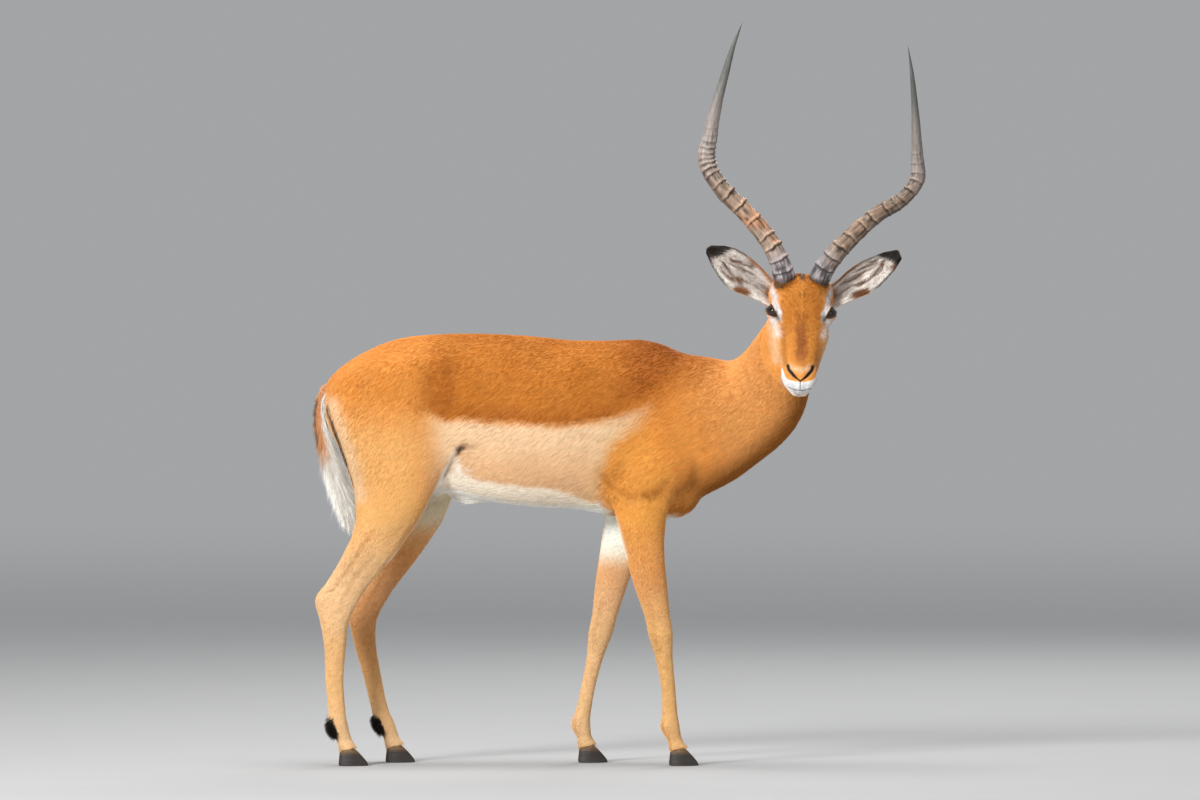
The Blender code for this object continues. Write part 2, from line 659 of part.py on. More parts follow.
def cutters(helpers):
    """The solids that part the flesh, an object each: plates, the eyes' seats, and the feet's ends."""
    plates = []
    half = 0.078
    for x, height, slope, half_length in LEG_CUTS:
        for side_sign in (-1, 1):
            centre = Vector((x, side_sign * (half - 0.003), height + slope * half))
            plates.append((centre, (0, -side_sign * slope, 1), half_length, half * math.hypot(1, slope)))
    plates.append((Vector(NECK_CUT_CENTRE), NECK_CUT_NORMAL, 0.25, 0.25))
    across_head = head_frame().to_3x3() @ Vector(HEAD_CUT_NORMAL)
    plates.append((head_frame() @ Vector(HEAD_CUT_CENTRE), across_head, 0.15, 0.15))
    solids = []
    for plate in plates:
        solids.append(bmesh.new())
        add_plate(solids[-1], *plate)
    solids.append(bmesh.new())
    for side_sign in (-1, 1):
        add_eye(solids[-1], side_sign, EYE_RADIUS + SEAT_GAP)
    turned = Matrix.Rotation(-math.atan(HOOF_TOP_SLOPE), 4, "Y")
    low_block = Matrix.Translation((0, 0, -0.1)) @ Matrix.Diagonal((0.08, 0.32, 0.2, 1))
    for centres_x, _, _ in FEET.values():
        place = Matrix.Translation((centres_x["coronet"] + FOOT_AHEAD, 0, HOOF_TOP))
        solids.append(bmesh.new())
        bmesh.ops.create_cube(solids[-1], size=1, matrix=place @ turned @ low_block)
    return [mesh_object(f"cutter_{k}", bm, helpers) for k, bm in enumerate(solids)]


def part_flesh(flesh, helpers, parts, coat):
    """Cuts the flesh, and names each loose piece after the place that lies nearest its middle."""
    for cutter in cutters(helpers):
        boolean(flesh, cutter)
    settled(flesh)
    bpy.ops.object.select_all(action="DESELECT")
    flesh.select_set(True)
    bpy.context.view_layer.objects.active = flesh
    bpy.ops.mesh.separate(type="LOOSE")
    for obj in list(bpy.context.selected_objects):
        middle = sum((Vector(corner) for corner in obj.bound_box), Vector()) / 8
        name = min(FLESH_PLACES, key=lambda place: (Vector(FLESH_PLACES[place]) - middle).length)
        obj.name = name
        obj.data.name = name
        obj.data.materials.clear()
        obj.data.materials.append(coat)
        parts.objects.link(obj)
        helpers.objects.unlink(obj)


def main():
    for obj in list(bpy.data.objects):
        bpy.data.objects.remove(obj)
    scene = bpy.context.scene.collection
    parts = bpy.data.collections.new("impala")
    helpers = bpy.data.collections.new("cutters")
    scene.children.link(parts)
    scene.children.link(helpers)
    materials = {name: material(name) for name in COLOURS}
    flesh = whole_flesh(helpers)
    seat = flesh.copy()
    seat.data = flesh.data.copy()
    seat.name = "seat"
    helpers.objects.link(seat)
    swell = seat.modifiers.new("swell", "DISPLACE")
    swell.strength = SEAT_GAP
    swell.mid_level = 0
    settled(seat)
    part_flesh(flesh, helpers, parts, materials["rufous_coat"])

    trimmed = []
    for side, side_sign in (("left", 1), ("right", -1)):
        bm = bmesh.new()
        add_eye(bm, side_sign, EYE_RADIUS)
        mesh_object(f"eye_{side}", bm, parts, materials["eye"])
        bm = bmesh.new()
        add_horn(bm, side)
        trimmed.append(mesh_object(f"horn_{side}", bm, parts, materials["horn"]))
        bm = bmesh.new()
        add_ear(bm, side)
        trimmed.append(mesh_object(f"ear_{side}", bm, parts, materials["ear_coat"]))
    bm = bmesh.new()
    add_tail(bm)
    trimmed.append(mesh_object("tail", bm, parts, materials["tail_hair"]))
    for foot, (centres_x, levels, side_sign) in FEET.items():
        for claw, inner_sign in (("inner", side_sign), ("outer", -side_sign)):
            bm = bmesh.new()
            add_hoof(bm, centres_x["coronet"] + FOOT_AHEAD, side_sign * levels["coronet"].out, inner_sign)
            mesh_object(f"hoof_{foot}_{claw}", bm, parts, materials["hoof"])
    for obj in trimmed:
        boolean(obj, seat)
        settled(obj)
    corners = [vertex.co for obj in parts.objects for vertex in obj.data.vertices]
    lows, highs = ([pick(co[axis] for co in corners) for axis in range(3)] for pick in (min, max))
    to_origin = Matrix.Translation((-(lows[0] + highs[0]) / 2, -(lows[1] + highs[1]) / 2, -lows[2]))
    for obj in (*parts.objects, *helpers.objects):
        obj.data.transform(to_origin)
    for obj in helpers.objects:
        obj.hide_render = True
        obj.display_type = "WIRE"


main()
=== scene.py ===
"""A life-size impala ram, standing side-on with its head turned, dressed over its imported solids."""

import math
from types import SimpleNamespace

import bmesh
import bpy
import numpy as np
from bpy.props import FloatProperty, FloatVectorProperty, IntProperty, PointerProperty
from mathutils import Matrix, Vector


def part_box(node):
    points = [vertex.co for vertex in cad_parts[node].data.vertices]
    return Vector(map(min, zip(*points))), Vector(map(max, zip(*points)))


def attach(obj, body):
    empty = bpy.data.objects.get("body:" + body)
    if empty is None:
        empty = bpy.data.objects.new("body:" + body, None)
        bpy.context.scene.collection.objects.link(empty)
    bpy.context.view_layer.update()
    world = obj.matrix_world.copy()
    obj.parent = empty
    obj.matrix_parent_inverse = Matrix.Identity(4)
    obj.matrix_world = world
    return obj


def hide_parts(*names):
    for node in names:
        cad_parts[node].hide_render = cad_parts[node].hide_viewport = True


bl_info = {
    "name": "Impala ram",
    "version": (1, 0, 0),
    "blender": (4, 5, 0),
    "location": "View3D > Sidebar > Impala",
    "description": "Builds a still, life-size impala ram: skin, coat, horns, eyes, hooves and tail",
    "category": "Object",
}

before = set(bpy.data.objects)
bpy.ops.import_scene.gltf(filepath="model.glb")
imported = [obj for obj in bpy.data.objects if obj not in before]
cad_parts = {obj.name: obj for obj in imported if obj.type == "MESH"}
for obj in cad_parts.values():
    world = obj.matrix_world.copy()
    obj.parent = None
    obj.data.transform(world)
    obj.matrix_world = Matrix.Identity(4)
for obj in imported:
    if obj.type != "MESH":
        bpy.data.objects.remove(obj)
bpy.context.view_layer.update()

# How the head is held, and where its eyes sit in the frame of the head.
FACE_LEAN = math.radians(32)
HEAD_YAW = math.radians(1.6)
HEAD_ROLL = math.radians(2.2)
EYE_PLACE = Vector((0.068, 0.0530, -0.030))
FLESH = (
    "trunk", "neck", "head", "leg_fore_left", "leg_fore_right", "leg_hind_left", "leg_hind_right",
)
SIGNS = {"left": 1, "right": -1}


def middle(node):
    low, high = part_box(node)
    return (low + high) / 2


def head_turn():
    """How the head's frame is turned: +X down the face to the nose, +Y to the left, +Z out of the brow."""
    down_face = Vector((0, -math.sin(FACE_LEAN), -math.cos(FACE_LEAN)))
    out_of_brow = Vector((0, -math.cos(FACE_LEAN), math.sin(FACE_LEAN)))
    lean = Matrix((down_face, out_of_brow.cross(down_face), out_of_brow)).transposed().to_4x4()
    return Matrix.Rotation(HEAD_YAW, 4, "Z") @ Matrix.Rotation(HEAD_ROLL, 4, "Y") @ lean


EYES_MIDDLE = (middle("eye_left") + middle("eye_right")) / 2
POLL = EYES_MIDDLE - head_turn().to_3x3() @ Vector((EYE_PLACE.x, 0, EYE_PLACE.z))
HEAD = Matrix.Translation(POLL) @ head_turn()
UPRIGHT = Matrix.Translation(POLL) @ Matrix.Rotation(HEAD_YAW, 4, "Z") @ Matrix.Rotation(HEAD_ROLL, 4, "Y")
# The middle of the body's plan, from which the markings and folds are placed.
BODY = Matrix.Translation(POLL - Vector((0.383, -0.185, 1.022)))

EAR_SHARES = np.linspace(0, 0.98, 9)
EARS = {
    "right": {
        "root": (0.0445, 0.045, -0.0440),
        "tip": (0.1990, 0.050, 0.0515),
        "over": (0.0150, 0.0205, 0.0265, 0.0318, 0.0352, 0.0362, 0.0340, 0.0255, 0.0110),
        "under": (0.0265, 0.0285, 0.0315, 0.0370, 0.0420, 0.0408, 0.0335, 0.0230, 0.0085),
    },
    "left": {
        "root": (0.0445, 0.045, -0.0440),
        "tip": (0.2010, 0.050, 0.0600),
        "over": (0.0150, 0.0160, 0.0168, 0.0220, 0.0248, 0.0240, 0.0205, 0.0160, 0.0070),
        "under": (0.0265, 0.0300, 0.0332, 0.0375, 0.0418, 0.0400, 0.0345, 0.0275, 0.0160),
    },
}
# How deep an ear is cupped, how thick its wall is at the root, and how far it reaches at its end.
EAR_CUP = 0.022
EAR_WALL = 0.0034
EAR_END = 0.0008
# How much lighter each ear's inner hair is painted, the left more to offset the shade it stands in: painted
# light.
EAR_LIGHT = {"right": 1.2, "left": 1.6}

# Each horn's middle line: out, back and up in the upright frame at the poll, and its radius.
HORNS = {
    "right": (
        (0.033, 0.016, -0.050, 0.0240), (0.037, 0.012, -0.001, 0.0245), (0.059, 0.015, 0.053, 0.0210),
        (0.094, 0.030, 0.101, 0.0205), (0.135, 0.046, 0.143, 0.0197), (0.179, 0.058, 0.185, 0.0190),
        (0.206, 0.069, 0.235, 0.0192), (0.200, 0.074, 0.295, 0.0165), (0.190, 0.069, 0.355, 0.0126),
        (0.176, 0.064, 0.413, 0.0096), (0.162, 0.054, 0.472, 0.0062), (0.143, 0.044, 0.529, 0.0008),
    ),
    "left": (
        (0.036, 0.016, -0.045, 0.0235), (0.040, 0.012, 0.008, 0.0235), (0.071, 0.015, 0.056, 0.0210),
        (0.110, 0.030, 0.098, 0.0190), (0.152, 0.046, 0.136, 0.0178), (0.201, 0.058, 0.167, 0.0165),
        (0.234, 0.069, 0.211, 0.0165), (0.232, 0.074, 0.268, 0.0138), (0.227, 0.069, 0.325, 0.0104),
        (0.221, 0.064, 0.382, 0.0076), (0.213, 0.054, 0.439, 0.0048), (0.202, 0.044, 0.496, 0.0008),
    ),
}
# The way round each horn that its rings stand out most, how dark its underside is painted in shade, and how
# light it is: the left horn painted darker, as painted shade.
HORN_KNOBS = {"right": math.radians(-55), "left": math.radians(-125)}
HORN_SHADE = {"right": 0.45, "left": 0.75}
HORN_LIGHT = {"right": 1.0, "left": 0.80}
RING_HEIGHT = 0.0035
# How far along each horn its rings stand, as heights of its middle line over the poll.
HORN_RINGS = {
    "right": (0.012, 0.036, 0.060, 0.080, 0.113, 0.142, 0.165, 0.186, 0.207, 0.219, 0.230, 0.240, 0.251, 0.263,
              0.276, 0.290, 0.305, 0.322),
    "left": (0.022, 0.044, 0.065, 0.086, 0.111, 0.128, 0.148, 0.159, 0.169, 0.188, 0.209, 0.226, 0.247, 0.268,
             0.290, 0.312),
}

TAIL_LINE = (
    (-0.588, 0.0, 0.800, 0.014, 0.012), (-0.615, 0.0, 0.776, 0.017, 0.013), (-0.624, 0.0, 0.725, 0.019, 0.014),
    (-0.612, 0.0, 0.665, 0.023, 0.016), (-0.594, 0.0, 0.605, 0.026, 0.018), (-0.575, 0.0, 0.548, 0.021, 0.015),
    (-0.560, 0.0, 0.502, 0.006, 0.005),
)

# The face's half-width at heights below the poll, from the chin to the cheeks.
FACE_WIDTHS = ((-0.2431, 0.0128), (-0.2381, 0.0182), (-0.2297, 0.0256), (-0.2201, 0.0330), (-0.2067, 0.0378),
               (-0.1900, 0.0382), (-0.1810, 0.0402), (-0.1673, 0.0450), (-0.1407, 0.0535), (-0.1170, 0.0600),
               (-0.1000, 0.0650))

# The legs' middle lines, as heights and places along the body.
LEG_HEIGHTS = {
    "hind": (0.006, 0.034, 0.054, 0.082, 0.112, 0.178, 0.250, 0.300, 0.348, 0.385, 0.440, 0.508, 0.580),
    "fore": (0.006, 0.034, 0.053, 0.080, 0.110, 0.160, 0.225, 0.272, 0.312, 0.375, 0.440, 0.510, 0.580),
}
LEG_LINES = {
    "hind_right": (-0.550, -0.563, -0.573, -0.585, -0.588, -0.593, -0.592, -0.593, -0.587, -0.561, -0.521,
                   -0.484, -0.468),
    "hind_left": (-0.453, -0.466, -0.476, -0.489, -0.500, -0.515, -0.531, -0.535, -0.526, -0.500, -0.465,
                  -0.431, -0.428),
    "fore_right": (0.140, 0.127, 0.118, 0.108, 0.107, 0.104, 0.095, 0.088, 0.081, 0.067, 0.055, 0.047, 0.052),
    "fore_left": (-0.050, -0.063, -0.071, -0.079, -0.073, -0.063, -0.048, -0.037, -0.028, -0.014, 0.002,
                  0.022, 0.042),
}

HOOF_LENGTH = 0.062
HOOF_WIDTH = 0.0190
HOOF_TOP = 0.034
HOOF_TOP_SLOPE = 0.24
HOOF_WALL_SLOPE = 0.66
HOOF_CLEFT = 0.0022
FOOT_AHEAD = 0.004
LEG_OUT = {"hind": 0.078, "fore": 0.072}


def colour_property(name, value, description):
    return FloatVectorProperty(
        name=name, description=description, default=value, size=3, subtype="COLOR", min=0.0, max=1.0,
    )


class CoatColours(bpy.types.PropertyGroup):
    """The colours of the coat and of the bare parts."""

    saddle: colour_property("Saddle", (0.44, 0.138, 0.009), "The dark red-brown of the back")
    rump: colour_property("Rump", (0.68, 0.265, 0.046), "The brighter red-brown of rump, thigh and shoulder")
    flank: colour_property("Flank", (0.76, 0.54, 0.33), "The pale tan band along the side")
    neck: colour_property("Neck", (0.67, 0.3, 0.08), "The neck's light red-brown")
    leg: colour_property("Leg", (0.71, 0.395, 0.135), "The outside of the legs")
    belly: colour_property("White", (0.88, 0.84, 0.77), "The white of belly, lips and tail")
    dark: colour_property("Dark", (0.016, 0.01, 0.008), "The black of stripes, ear tips and heels")
    brow: colour_property("Brow", (0.5, 0.18, 0.021), "The forehead and the stripe down the nose")
    cheek: colour_property("Cheek", (0.7, 0.29, 0.052), "The cheeks and the sides of the face")
    ear_hair: colour_property("Ear hair", (0.50, 0.45, 0.41), "The pale hair inside the ears")
    horn: colour_property("Horn", (0.31, 0.215, 0.15), "The horns' ringed middle")
    horn_base: colour_property("Horn base", (0.28, 0.25, 0.255), "The horns' grey base")
    horn_tip: colour_property("Horn tip", (0.3, 0.255, 0.23), "The horns' smooth upper length")
    iris: colour_property("Iris", (0.030, 0.014, 0.007), "The eye's dark brown")
    hoof: colour_property("Hoof", (0.030, 0.025, 0.021), "The horn of the claws")
    floor: colour_property("Floor", (0.46, 0.46, 0.46), "The pale floor")


def palette():
    """The panel's colours, as arrays."""
    chosen = bpy.context.scene.impala_colours
    return SimpleNamespace(**{name: np.array(getattr(chosen, name)) for name in CoatColours.__annotations__})


class CoatSizes(bpy.types.PropertyGroup):
    """How fine the skin is, and how long and dense the coat."""

    voxel: FloatProperty(
        name="Skin grain", description="The size of the skin's first mesh", default=0.0025, unit="LENGTH",
        min=0.001, max=0.02,
    )
    coat_depth: FloatProperty(
        name="Coat depth", description="How far the skin lies inside the coat's tips", default=0.0018,
        unit="LENGTH", min=0.0, max=0.02,
    )
    hair_length: FloatProperty(
        name="Hair length", description="The length of a tuft on the body", default=0.0120, unit="LENGTH",
        min=0.001, max=0.1,
    )
    hair_width: FloatProperty(
        name="Hair width", description="The width of a tuft on the body", default=0.0012, unit="LENGTH",
        min=0.0001, max=0.01,
    )
    trunk_tufts: IntProperty(
        name="Trunk tufts", description="How many tufts each side of the trunk has", default=46000, min=10,
    )


# ---------------------------------------------------------------- numbers


def to_frame(points, matrix):
    """World points in a frame."""
    inverse = np.array(matrix.inverted())
    return points @ inverse[:3, :3].T + inverse[:3, 3]


def from_frame(points, matrix):
    """Points of a frame in the world."""
    turned = np.array(matrix)
    return points @ turned[:3, :3].T + turned[:3, 3]


def unit(vectors):
    return vectors / np.maximum(np.linalg.norm(vectors, axis=-1, keepdims=True), 1e-9)


def laid_along(vectors, normals):
    """Vectors without their share along the normals, at unit length."""
    return unit(vectors - normals * np.sum(vectors * normals, axis=1, keepdims=True))


def reach_along(line):
    """How far along a broken line each of its points lies."""
    return np.append(0, np.cumsum(np.linalg.norm(np.diff(line, axis=0), axis=1)))


def ramp(value, low, high):
    """0 up to low, 1 from high on, and smooth between."""
    t = np.clip((value - low) / (high - low), 0, 1)
    return t * t * (3 - 2 * t)


def fade(value, low, high):
    """1 up to low, 0 from high on, and smooth between."""
    return 1 - ramp(value, low, high)


def read_off(value, table):
    """What a table of pairs says for each value, between its rows too."""
    return np.interp(value, *np.array(table).T)


def columns(*parts):
    """Points made of one row of numbers for each axis."""
    return np.stack(parts, axis=1)


def noise(points, scale, seed=0):
    """Smooth noise from -1 to 1, with grains of this size along each axis."""
    at = points / np.asarray(scale, float) + 17.31 * seed
    cell = np.floor(at).astype(np.int64)
    part = at - cell
    part = part * part * (3 - 2 * part)
    total = np.zeros(len(points))
    for corner in range(8):
        step = np.array([corner & 1, corner >> 1 & 1, corner >> 2])
        x, y, z = (cell + step).T
        mixed = (x * 374761393 + y * 668265263 + z * 2246822519) & 0xFFFFFFFF
        mixed = ((mixed ^ (mixed >> 13)) * 1274126177) & 0xFFFFFFFF
        value = ((mixed ^ (mixed >> 16)) & 0xFFFF) / 0xFFFF
        total += value * np.prod(np.where(step, part, 1 - part), axis=1)
    return 2 * total - 1


def distance_to_line(points, line):
    """How far 2-D or 3-D points lie from a broken line."""
    line = np.asarray(line, float)
    nearest = np.full(len(points), 1e9)
    for a, b in zip(line, line[1:]):
        share = np.clip(((points - a) @ (b - a)) / ((b - a) @ (b - a)), 0, 1)
        nearest = np.minimum(nearest, np.linalg.norm(points - a - share[:, None] * (b - a), axis=1))
    return nearest


def bell(value, width):
    """1 at 0, falling off smoothly to 0 over about twice width."""
    return np.exp(-((value / width) ** 2))


def near_line(points, line, width):
    """1 on a broken line, falling off as a bell does."""
    return bell(distance_to_line(points, line), width)


def blot(points, centre, radii):
    """1 in the middle of a soft oval patch, 0 outside."""
    away = np.linalg.norm((points - np.asarray(centre)) / np.asarray(radii), axis=1)
    return 1 - ramp(away, 0.55, 1.25)


class Tints:
    """One colour for each of some points, with others laid over it."""

    def __init__(self, colour, count):
        self.colours = np.tile(colour, (count, 1))

    def lay(self, colour, mask):
        """Lays another colour over them where mask is 1."""
        self.colours = self.colours + (np.asarray(colour) - self.colours) * mask[:, None]

    def shade(self, factors):
        """Makes each point lighter or darker."""
        self.colours = self.colours * factors[:, None]


def smooth_rows(rows, steps):
    """Rows of numbers with steps - 1 smooth ones between each two."""
    rows = np.asarray(rows, float)
    made = []
    for k in range(len(rows) - 1):
        a, b, c, d = rows[max(k - 1, 0)], rows[k], rows[k + 1], rows[min(k + 2, len(rows) - 1)]
        for t in np.arange(steps) / steps:
            bend = (2 * a - 5 * b + 4 * c - d) * t * t + (3 * b - a - 3 * c + d) * t**3
            made.append(0.5 * (2 * b + (c - a) * t + bend))
    return np.array(made + [rows[-1]])


def row_at(shares, table_shares, table):
    """A table's rows at other shares of its length."""
    return columns(*(np.interp(shares, table_shares, column) for column in np.asarray(table).T))


# ---------------------------------------------------------------- meshes


def add_piece(name, mesh, material, slot, *nodes):
    """Links a finished mesh as a piece that rides on the body and may stand for CAD nodes."""
    piece = bpy.data.objects.new(name, mesh)
    bpy.context.scene.collection.objects.link(piece)
    mesh.materials.clear()
    mesh.materials.append(material)
    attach(piece, "root")
    if nodes:
        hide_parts(*nodes)
    return piece


def surface(name, place, around, along, closed=True):
    """A grid bent by place(u, v), and closed round u where its edges meet."""
    bm = bmesh.new()
    bmesh.ops.create_grid(bm, x_segments=around, y_segments=along, size=0.5)
    flat = np.array([vertex.co for vertex in bm.verts])
    for vertex, at in zip(bm.verts, place(flat[:, 0] + 0.5, flat[:, 1] + 0.5)):
        vertex.co = at
    if closed:
        bmesh.ops.remove_doubles(bm, verts=bm.verts, dist=1e-6)
    bmesh.ops.recalc_face_normals(bm, faces=bm.faces)
    mesh = bpy.data.meshes.new(name)
    bm.to_mesh(mesh)
    bm.free()
    mesh.shade_smooth()
    return mesh


def points_of(mesh):
    points = np.empty(len(mesh.vertices) * 3)
    mesh.vertices.foreach_get("co", points)
    return points.reshape(-1, 3)


def normals_of(mesh):
    normals = np.empty(len(mesh.vertices) * 3, np.float32)
    mesh.vertex_normals.foreach_get("vector", normals)
    return normals.reshape(-1, 3).astype(float)


def move_to(mesh, points):
    mesh.vertices.foreach_set("co", points.ravel())
    mesh.update()


def add_tint(mesh, colours):
    """Keeps a colour for each vertex in the attribute that the materials read."""
    tint = mesh.color_attributes.new("tint", "FLOAT_COLOR", "POINT")
    shown = np.concatenate([np.clip(colours, 0, 1), np.ones((len(colours), 1))], axis=1)
    tint.data.foreach_set("color", shown.astype(np.float32).ravel())


def settled(obj):
    """Bakes obj's modifiers into its mesh."""
    graph = bpy.context.evaluated_depsgraph_get()
    mesh = bpy.data.meshes.new_from_object(obj.evaluated_get(graph))
    obj.modifiers.clear()
    obj.data = mesh
    return obj


def soften(obj, rounds, weights=None):
    """Smooths a mesh, as much as each vertex's weight says."""
    softened = obj.modifiers.new("softened", "SMOOTH")
    softened.factor = 0.5
    softened.iterations = rounds
    if weights is not None:
        obj.vertex_groups.clear()
        held = obj.vertex_groups.new(name="held")
        for index, weight in enumerate(weights):
            held.add([index], float(weight), "REPLACE")
        softened.vertex_group = "held"
    settled(obj)
    obj.vertex_groups.clear()


# ---------------------------------------------------------------- materials


class Value:
    """A number that varies over a surface; arithmetic on it adds Math nodes."""

    def __init__(self, finish, socket):
        self.finish = finish
        self.socket = socket

    def calculate(self, operation, first, second):
        node = self.finish.add("ShaderNodeMath", {"operation": operation}, {0: first, 1: second})
        return Value(self.finish, node.outputs[0])

    def __add__(self, other):
        return self.calculate("ADD", self, other)

    def __radd__(self, other):
        return self.calculate("ADD", other, self)

    def __rmul__(self, other):
        return self.calculate("MULTIPLY", other, self)


class Finish:
    """A material in the making."""

    def __init__(self, name, **constants):
        self.material = bpy.data.materials.new(name)
        self.material.use_nodes = True
        self.tree = self.material.node_tree
        self.shader = self.tree.nodes["Principled BSDF"]
        for socket, value in constants.items():
            self.feed(self.shader.inputs[socket.replace("_", " ")], value)

    def feed(self, socket, value):
        if isinstance(value, Value):
            self.tree.links.new(value.socket, socket)
        elif isinstance(value, bpy.types.NodeSocket):
            self.tree.links.new(value, socket)
        else:
            socket.default_value = value

    def add(self, kind, settings, inputs):
        """A node of this type, with its settings made first and then its sockets."""
        node = self.tree.nodes.new(kind)
        for name, value in settings.items():
            setattr(node, name, value)
        for socket, value in inputs.items():
            self.feed(node.inputs[socket], value)
        return node

    def grain(self, scale, stretch=(1, 1, 1), turn=(0, 0, 0), detail=3.0):
        """Noise on the object's own coordinates."""
        place = self.add("ShaderNodeTexCoord", {}, {})
        scales = tuple(1 / part for part in stretch)
        mapped = self.add(
            "ShaderNodeMapping", {"vector_type": "TEXTURE"},
            {"Vector": place.outputs["Object"], "Rotation": turn, "Scale": scales},
        )
        grains = self.add(
            "ShaderNodeTexNoise", {}, {"Vector": mapped.outputs[0], "Scale": scale, "Detail": detail},
        )
        return Value(self, grains.outputs[0])

    def tinted(self, shade):
        """The base colour: the tint that the mesh carries, made lighter and darker by shade."""
        tint = self.add("ShaderNodeAttribute", {"attribute_name": "tint"}, {})
        grey = self.add("ShaderNodeCombineColor", {}, {0: shade, 1: shade, 2: shade})
        mixed = self.add(
            "ShaderNodeMix", {"data_type": "RGBA", "blend_type": "MULTIPLY"},
            {0: 1.0, 6: tint.outputs["Color"], 7: grey.outputs[0]},
        )
        self.feed(self.shader.inputs["Base Color"], mixed.outputs[2])

    def fade_out(self, near, far):
        """Lets the surface give way to what is behind it, from near to far from the middle."""
        place = self.add("ShaderNodeTexCoord", {}, {})
        reach = self.add("ShaderNodeVectorMath", {"operation": "LENGTH"}, {0: place.outputs["Object"]})
        share = self.add(
            "ShaderNodeMapRange", {"interpolation_type": "SMOOTHSTEP"},
            {"Value": reach.outputs["Value"], "From Min": near, "From Max": far},
        )
        clear = self.add("ShaderNodeBsdfTransparent", {}, {})
        mixed = self.add(
            "ShaderNodeMixShader", {}, {0: share.outputs[0], 1: self.shader.outputs[0], 2: clear.outputs[0]},
        )
        self.feed(self.tree.nodes["Material Output"].inputs["Surface"], mixed.outputs[0])

    def bumped(self, height, depth):
        """Relief by bump, depth metres between 0 and 1 of height."""
        bump = self.add("ShaderNodeBump", {}, {"Height": height, "Distance": depth, "Strength": 1.0})
        self.feed(self.shader.inputs["Normal"], bump.outputs[0])


HAIR_LIE = (0, math.radians(-30), 0)


def skin_finish():
    finish = Finish("short_coat", Roughness=0.72, Specular_IOR_Level=0.25, Sheen_Weight=0.08)
    hairs = finish.grain(700, stretch=(0.20, 0.6, 1), turn=HAIR_LIE, detail=3.0)
    clumps = finish.grain(240, stretch=(0.24, 0.6, 1), turn=HAIR_LIE, detail=3.0)
    finish.tinted(0.68 + 0.22 * hairs + 0.42 * clumps)
    finish.bumped(hairs + clumps, 0.0010)
    return finish.material


def tuft_finish(name, roughness=0.62):
    finish = Finish(name, Roughness=roughness, Specular_IOR_Level=0.28)
    clumps = finish.grain(240, stretch=(0.24, 0.6, 1), turn=HAIR_LIE, detail=3.0)
    finish.tinted(0.75 + 0.50 * clumps)
    finish.bumped(finish.grain(900, detail=1.0), 0.0002)
    return finish.material


def horn_finish():
    finish = Finish("horn_sheath", Specular_IOR_Level=0.4)
    fibres = finish.grain(260, stretch=(1, 1, 0.14), detail=4.0)
    pits = finish.grain(60, detail=4.0)
    finish.tinted(0.62 + 0.42 * fibres + 0.34 * pits)
    finish.bumped(fibres + 0.6 * pits, 0.0011)
    finish.feed(finish.shader.inputs["Roughness"], 0.34 + 0.3 * pits)
    return finish.material


def eye_finish():
    finish = Finish("wet_eye", Roughness=0.16, Specular_IOR_Level=0.25, Coat_Weight=0.45, Coat_Roughness=0.03)
    finish.tinted(0.7 + 0.6 * finish.grain(420, detail=3.0))
    return finish.material


def hoof_finish():
    finish = Finish("claw_horn", Specular_IOR_Level=0.4)
    rings = finish.grain(70, stretch=(0.25, 0.25, 5.0), detail=3.0)
    scuffs = finish.grain(210, detail=5.0)
    finish.tinted(0.45 + 0.8 * rings + 0.5 * scuffs)
    finish.bumped(rings + 0.5 * scuffs, 0.0009)
    finish.feed(finish.shader.inputs["Roughness"], 0.30 + 0.35 * scuffs)
    return finish.material


# ---------------------------------------------------------------- markings


SADDLE_EDGE = ((-0.40, 0.735), (-0.352, 0.724), (-0.25, 0.719), (-0.20, 0.717), (-0.12, 0.710), (-0.08, 0.714),
               (-0.03, 0.722), (0.01, 0.736), (0.05, 0.752), (0.10, 0.780), (0.16, 0.80))
BELLY_EDGE = ((-0.42, 0.662), (-0.345, 0.662), (-0.334, 0.648), (-0.324, 0.620), (-0.308, 0.603),
              (-0.292, 0.595), (-0.218, 0.586), (-0.164, 0.582), (-0.103, 0.571), (-0.051, 0.548),
              (-0.028, 0.529), (0.02, 0.520), (0.09, 0.525), (0.14, 0.54))
# The front edge of the thigh and the back edge of the forearm, ahead of the leg's middle line, by height.
THIGH_EDGE = ((0.052, 0.430), (0.062, 0.462), (0.067, 0.506), (0.0785, 0.541), (0.088, 0.575), (0.108, 0.620),
              (0.126, 0.664))
ELBOW_EDGE = ((-0.088, 0.545), (-0.062, 0.520), (-0.053, 0.500), (-0.0475, 0.470), (-0.043, 0.440))
BUTTOCK_STRIPE = ((-0.6105, 0.752), (-0.589, 0.690), (-0.573, 0.645), (-0.559, 0.600), (-0.5520, 0.562))


def leg_offset(body, pair):
    """How far points lie ahead of the middle line of the leg of this pair that they are on."""
    left = np.interp(body[:, 2], LEG_HEIGHTS[pair], LEG_LINES[pair + "_left"])
    right = np.interp(body[:, 2], LEG_HEIGHTS[pair], LEG_LINES[pair + "_right"])
    return body[:, 0] - np.where(body[:, 1] > 0, left, right)


def head_share(points):
    """1 on the head, 0 on the neck and body."""
    head = to_frame(points, HEAD)
    beside = fade(np.abs(head[:, 1]), 0.10, 0.12)
    return ramp(head[:, 0], -0.045, -0.005) * ramp(head[:, 2], -0.165, -0.135) * beside


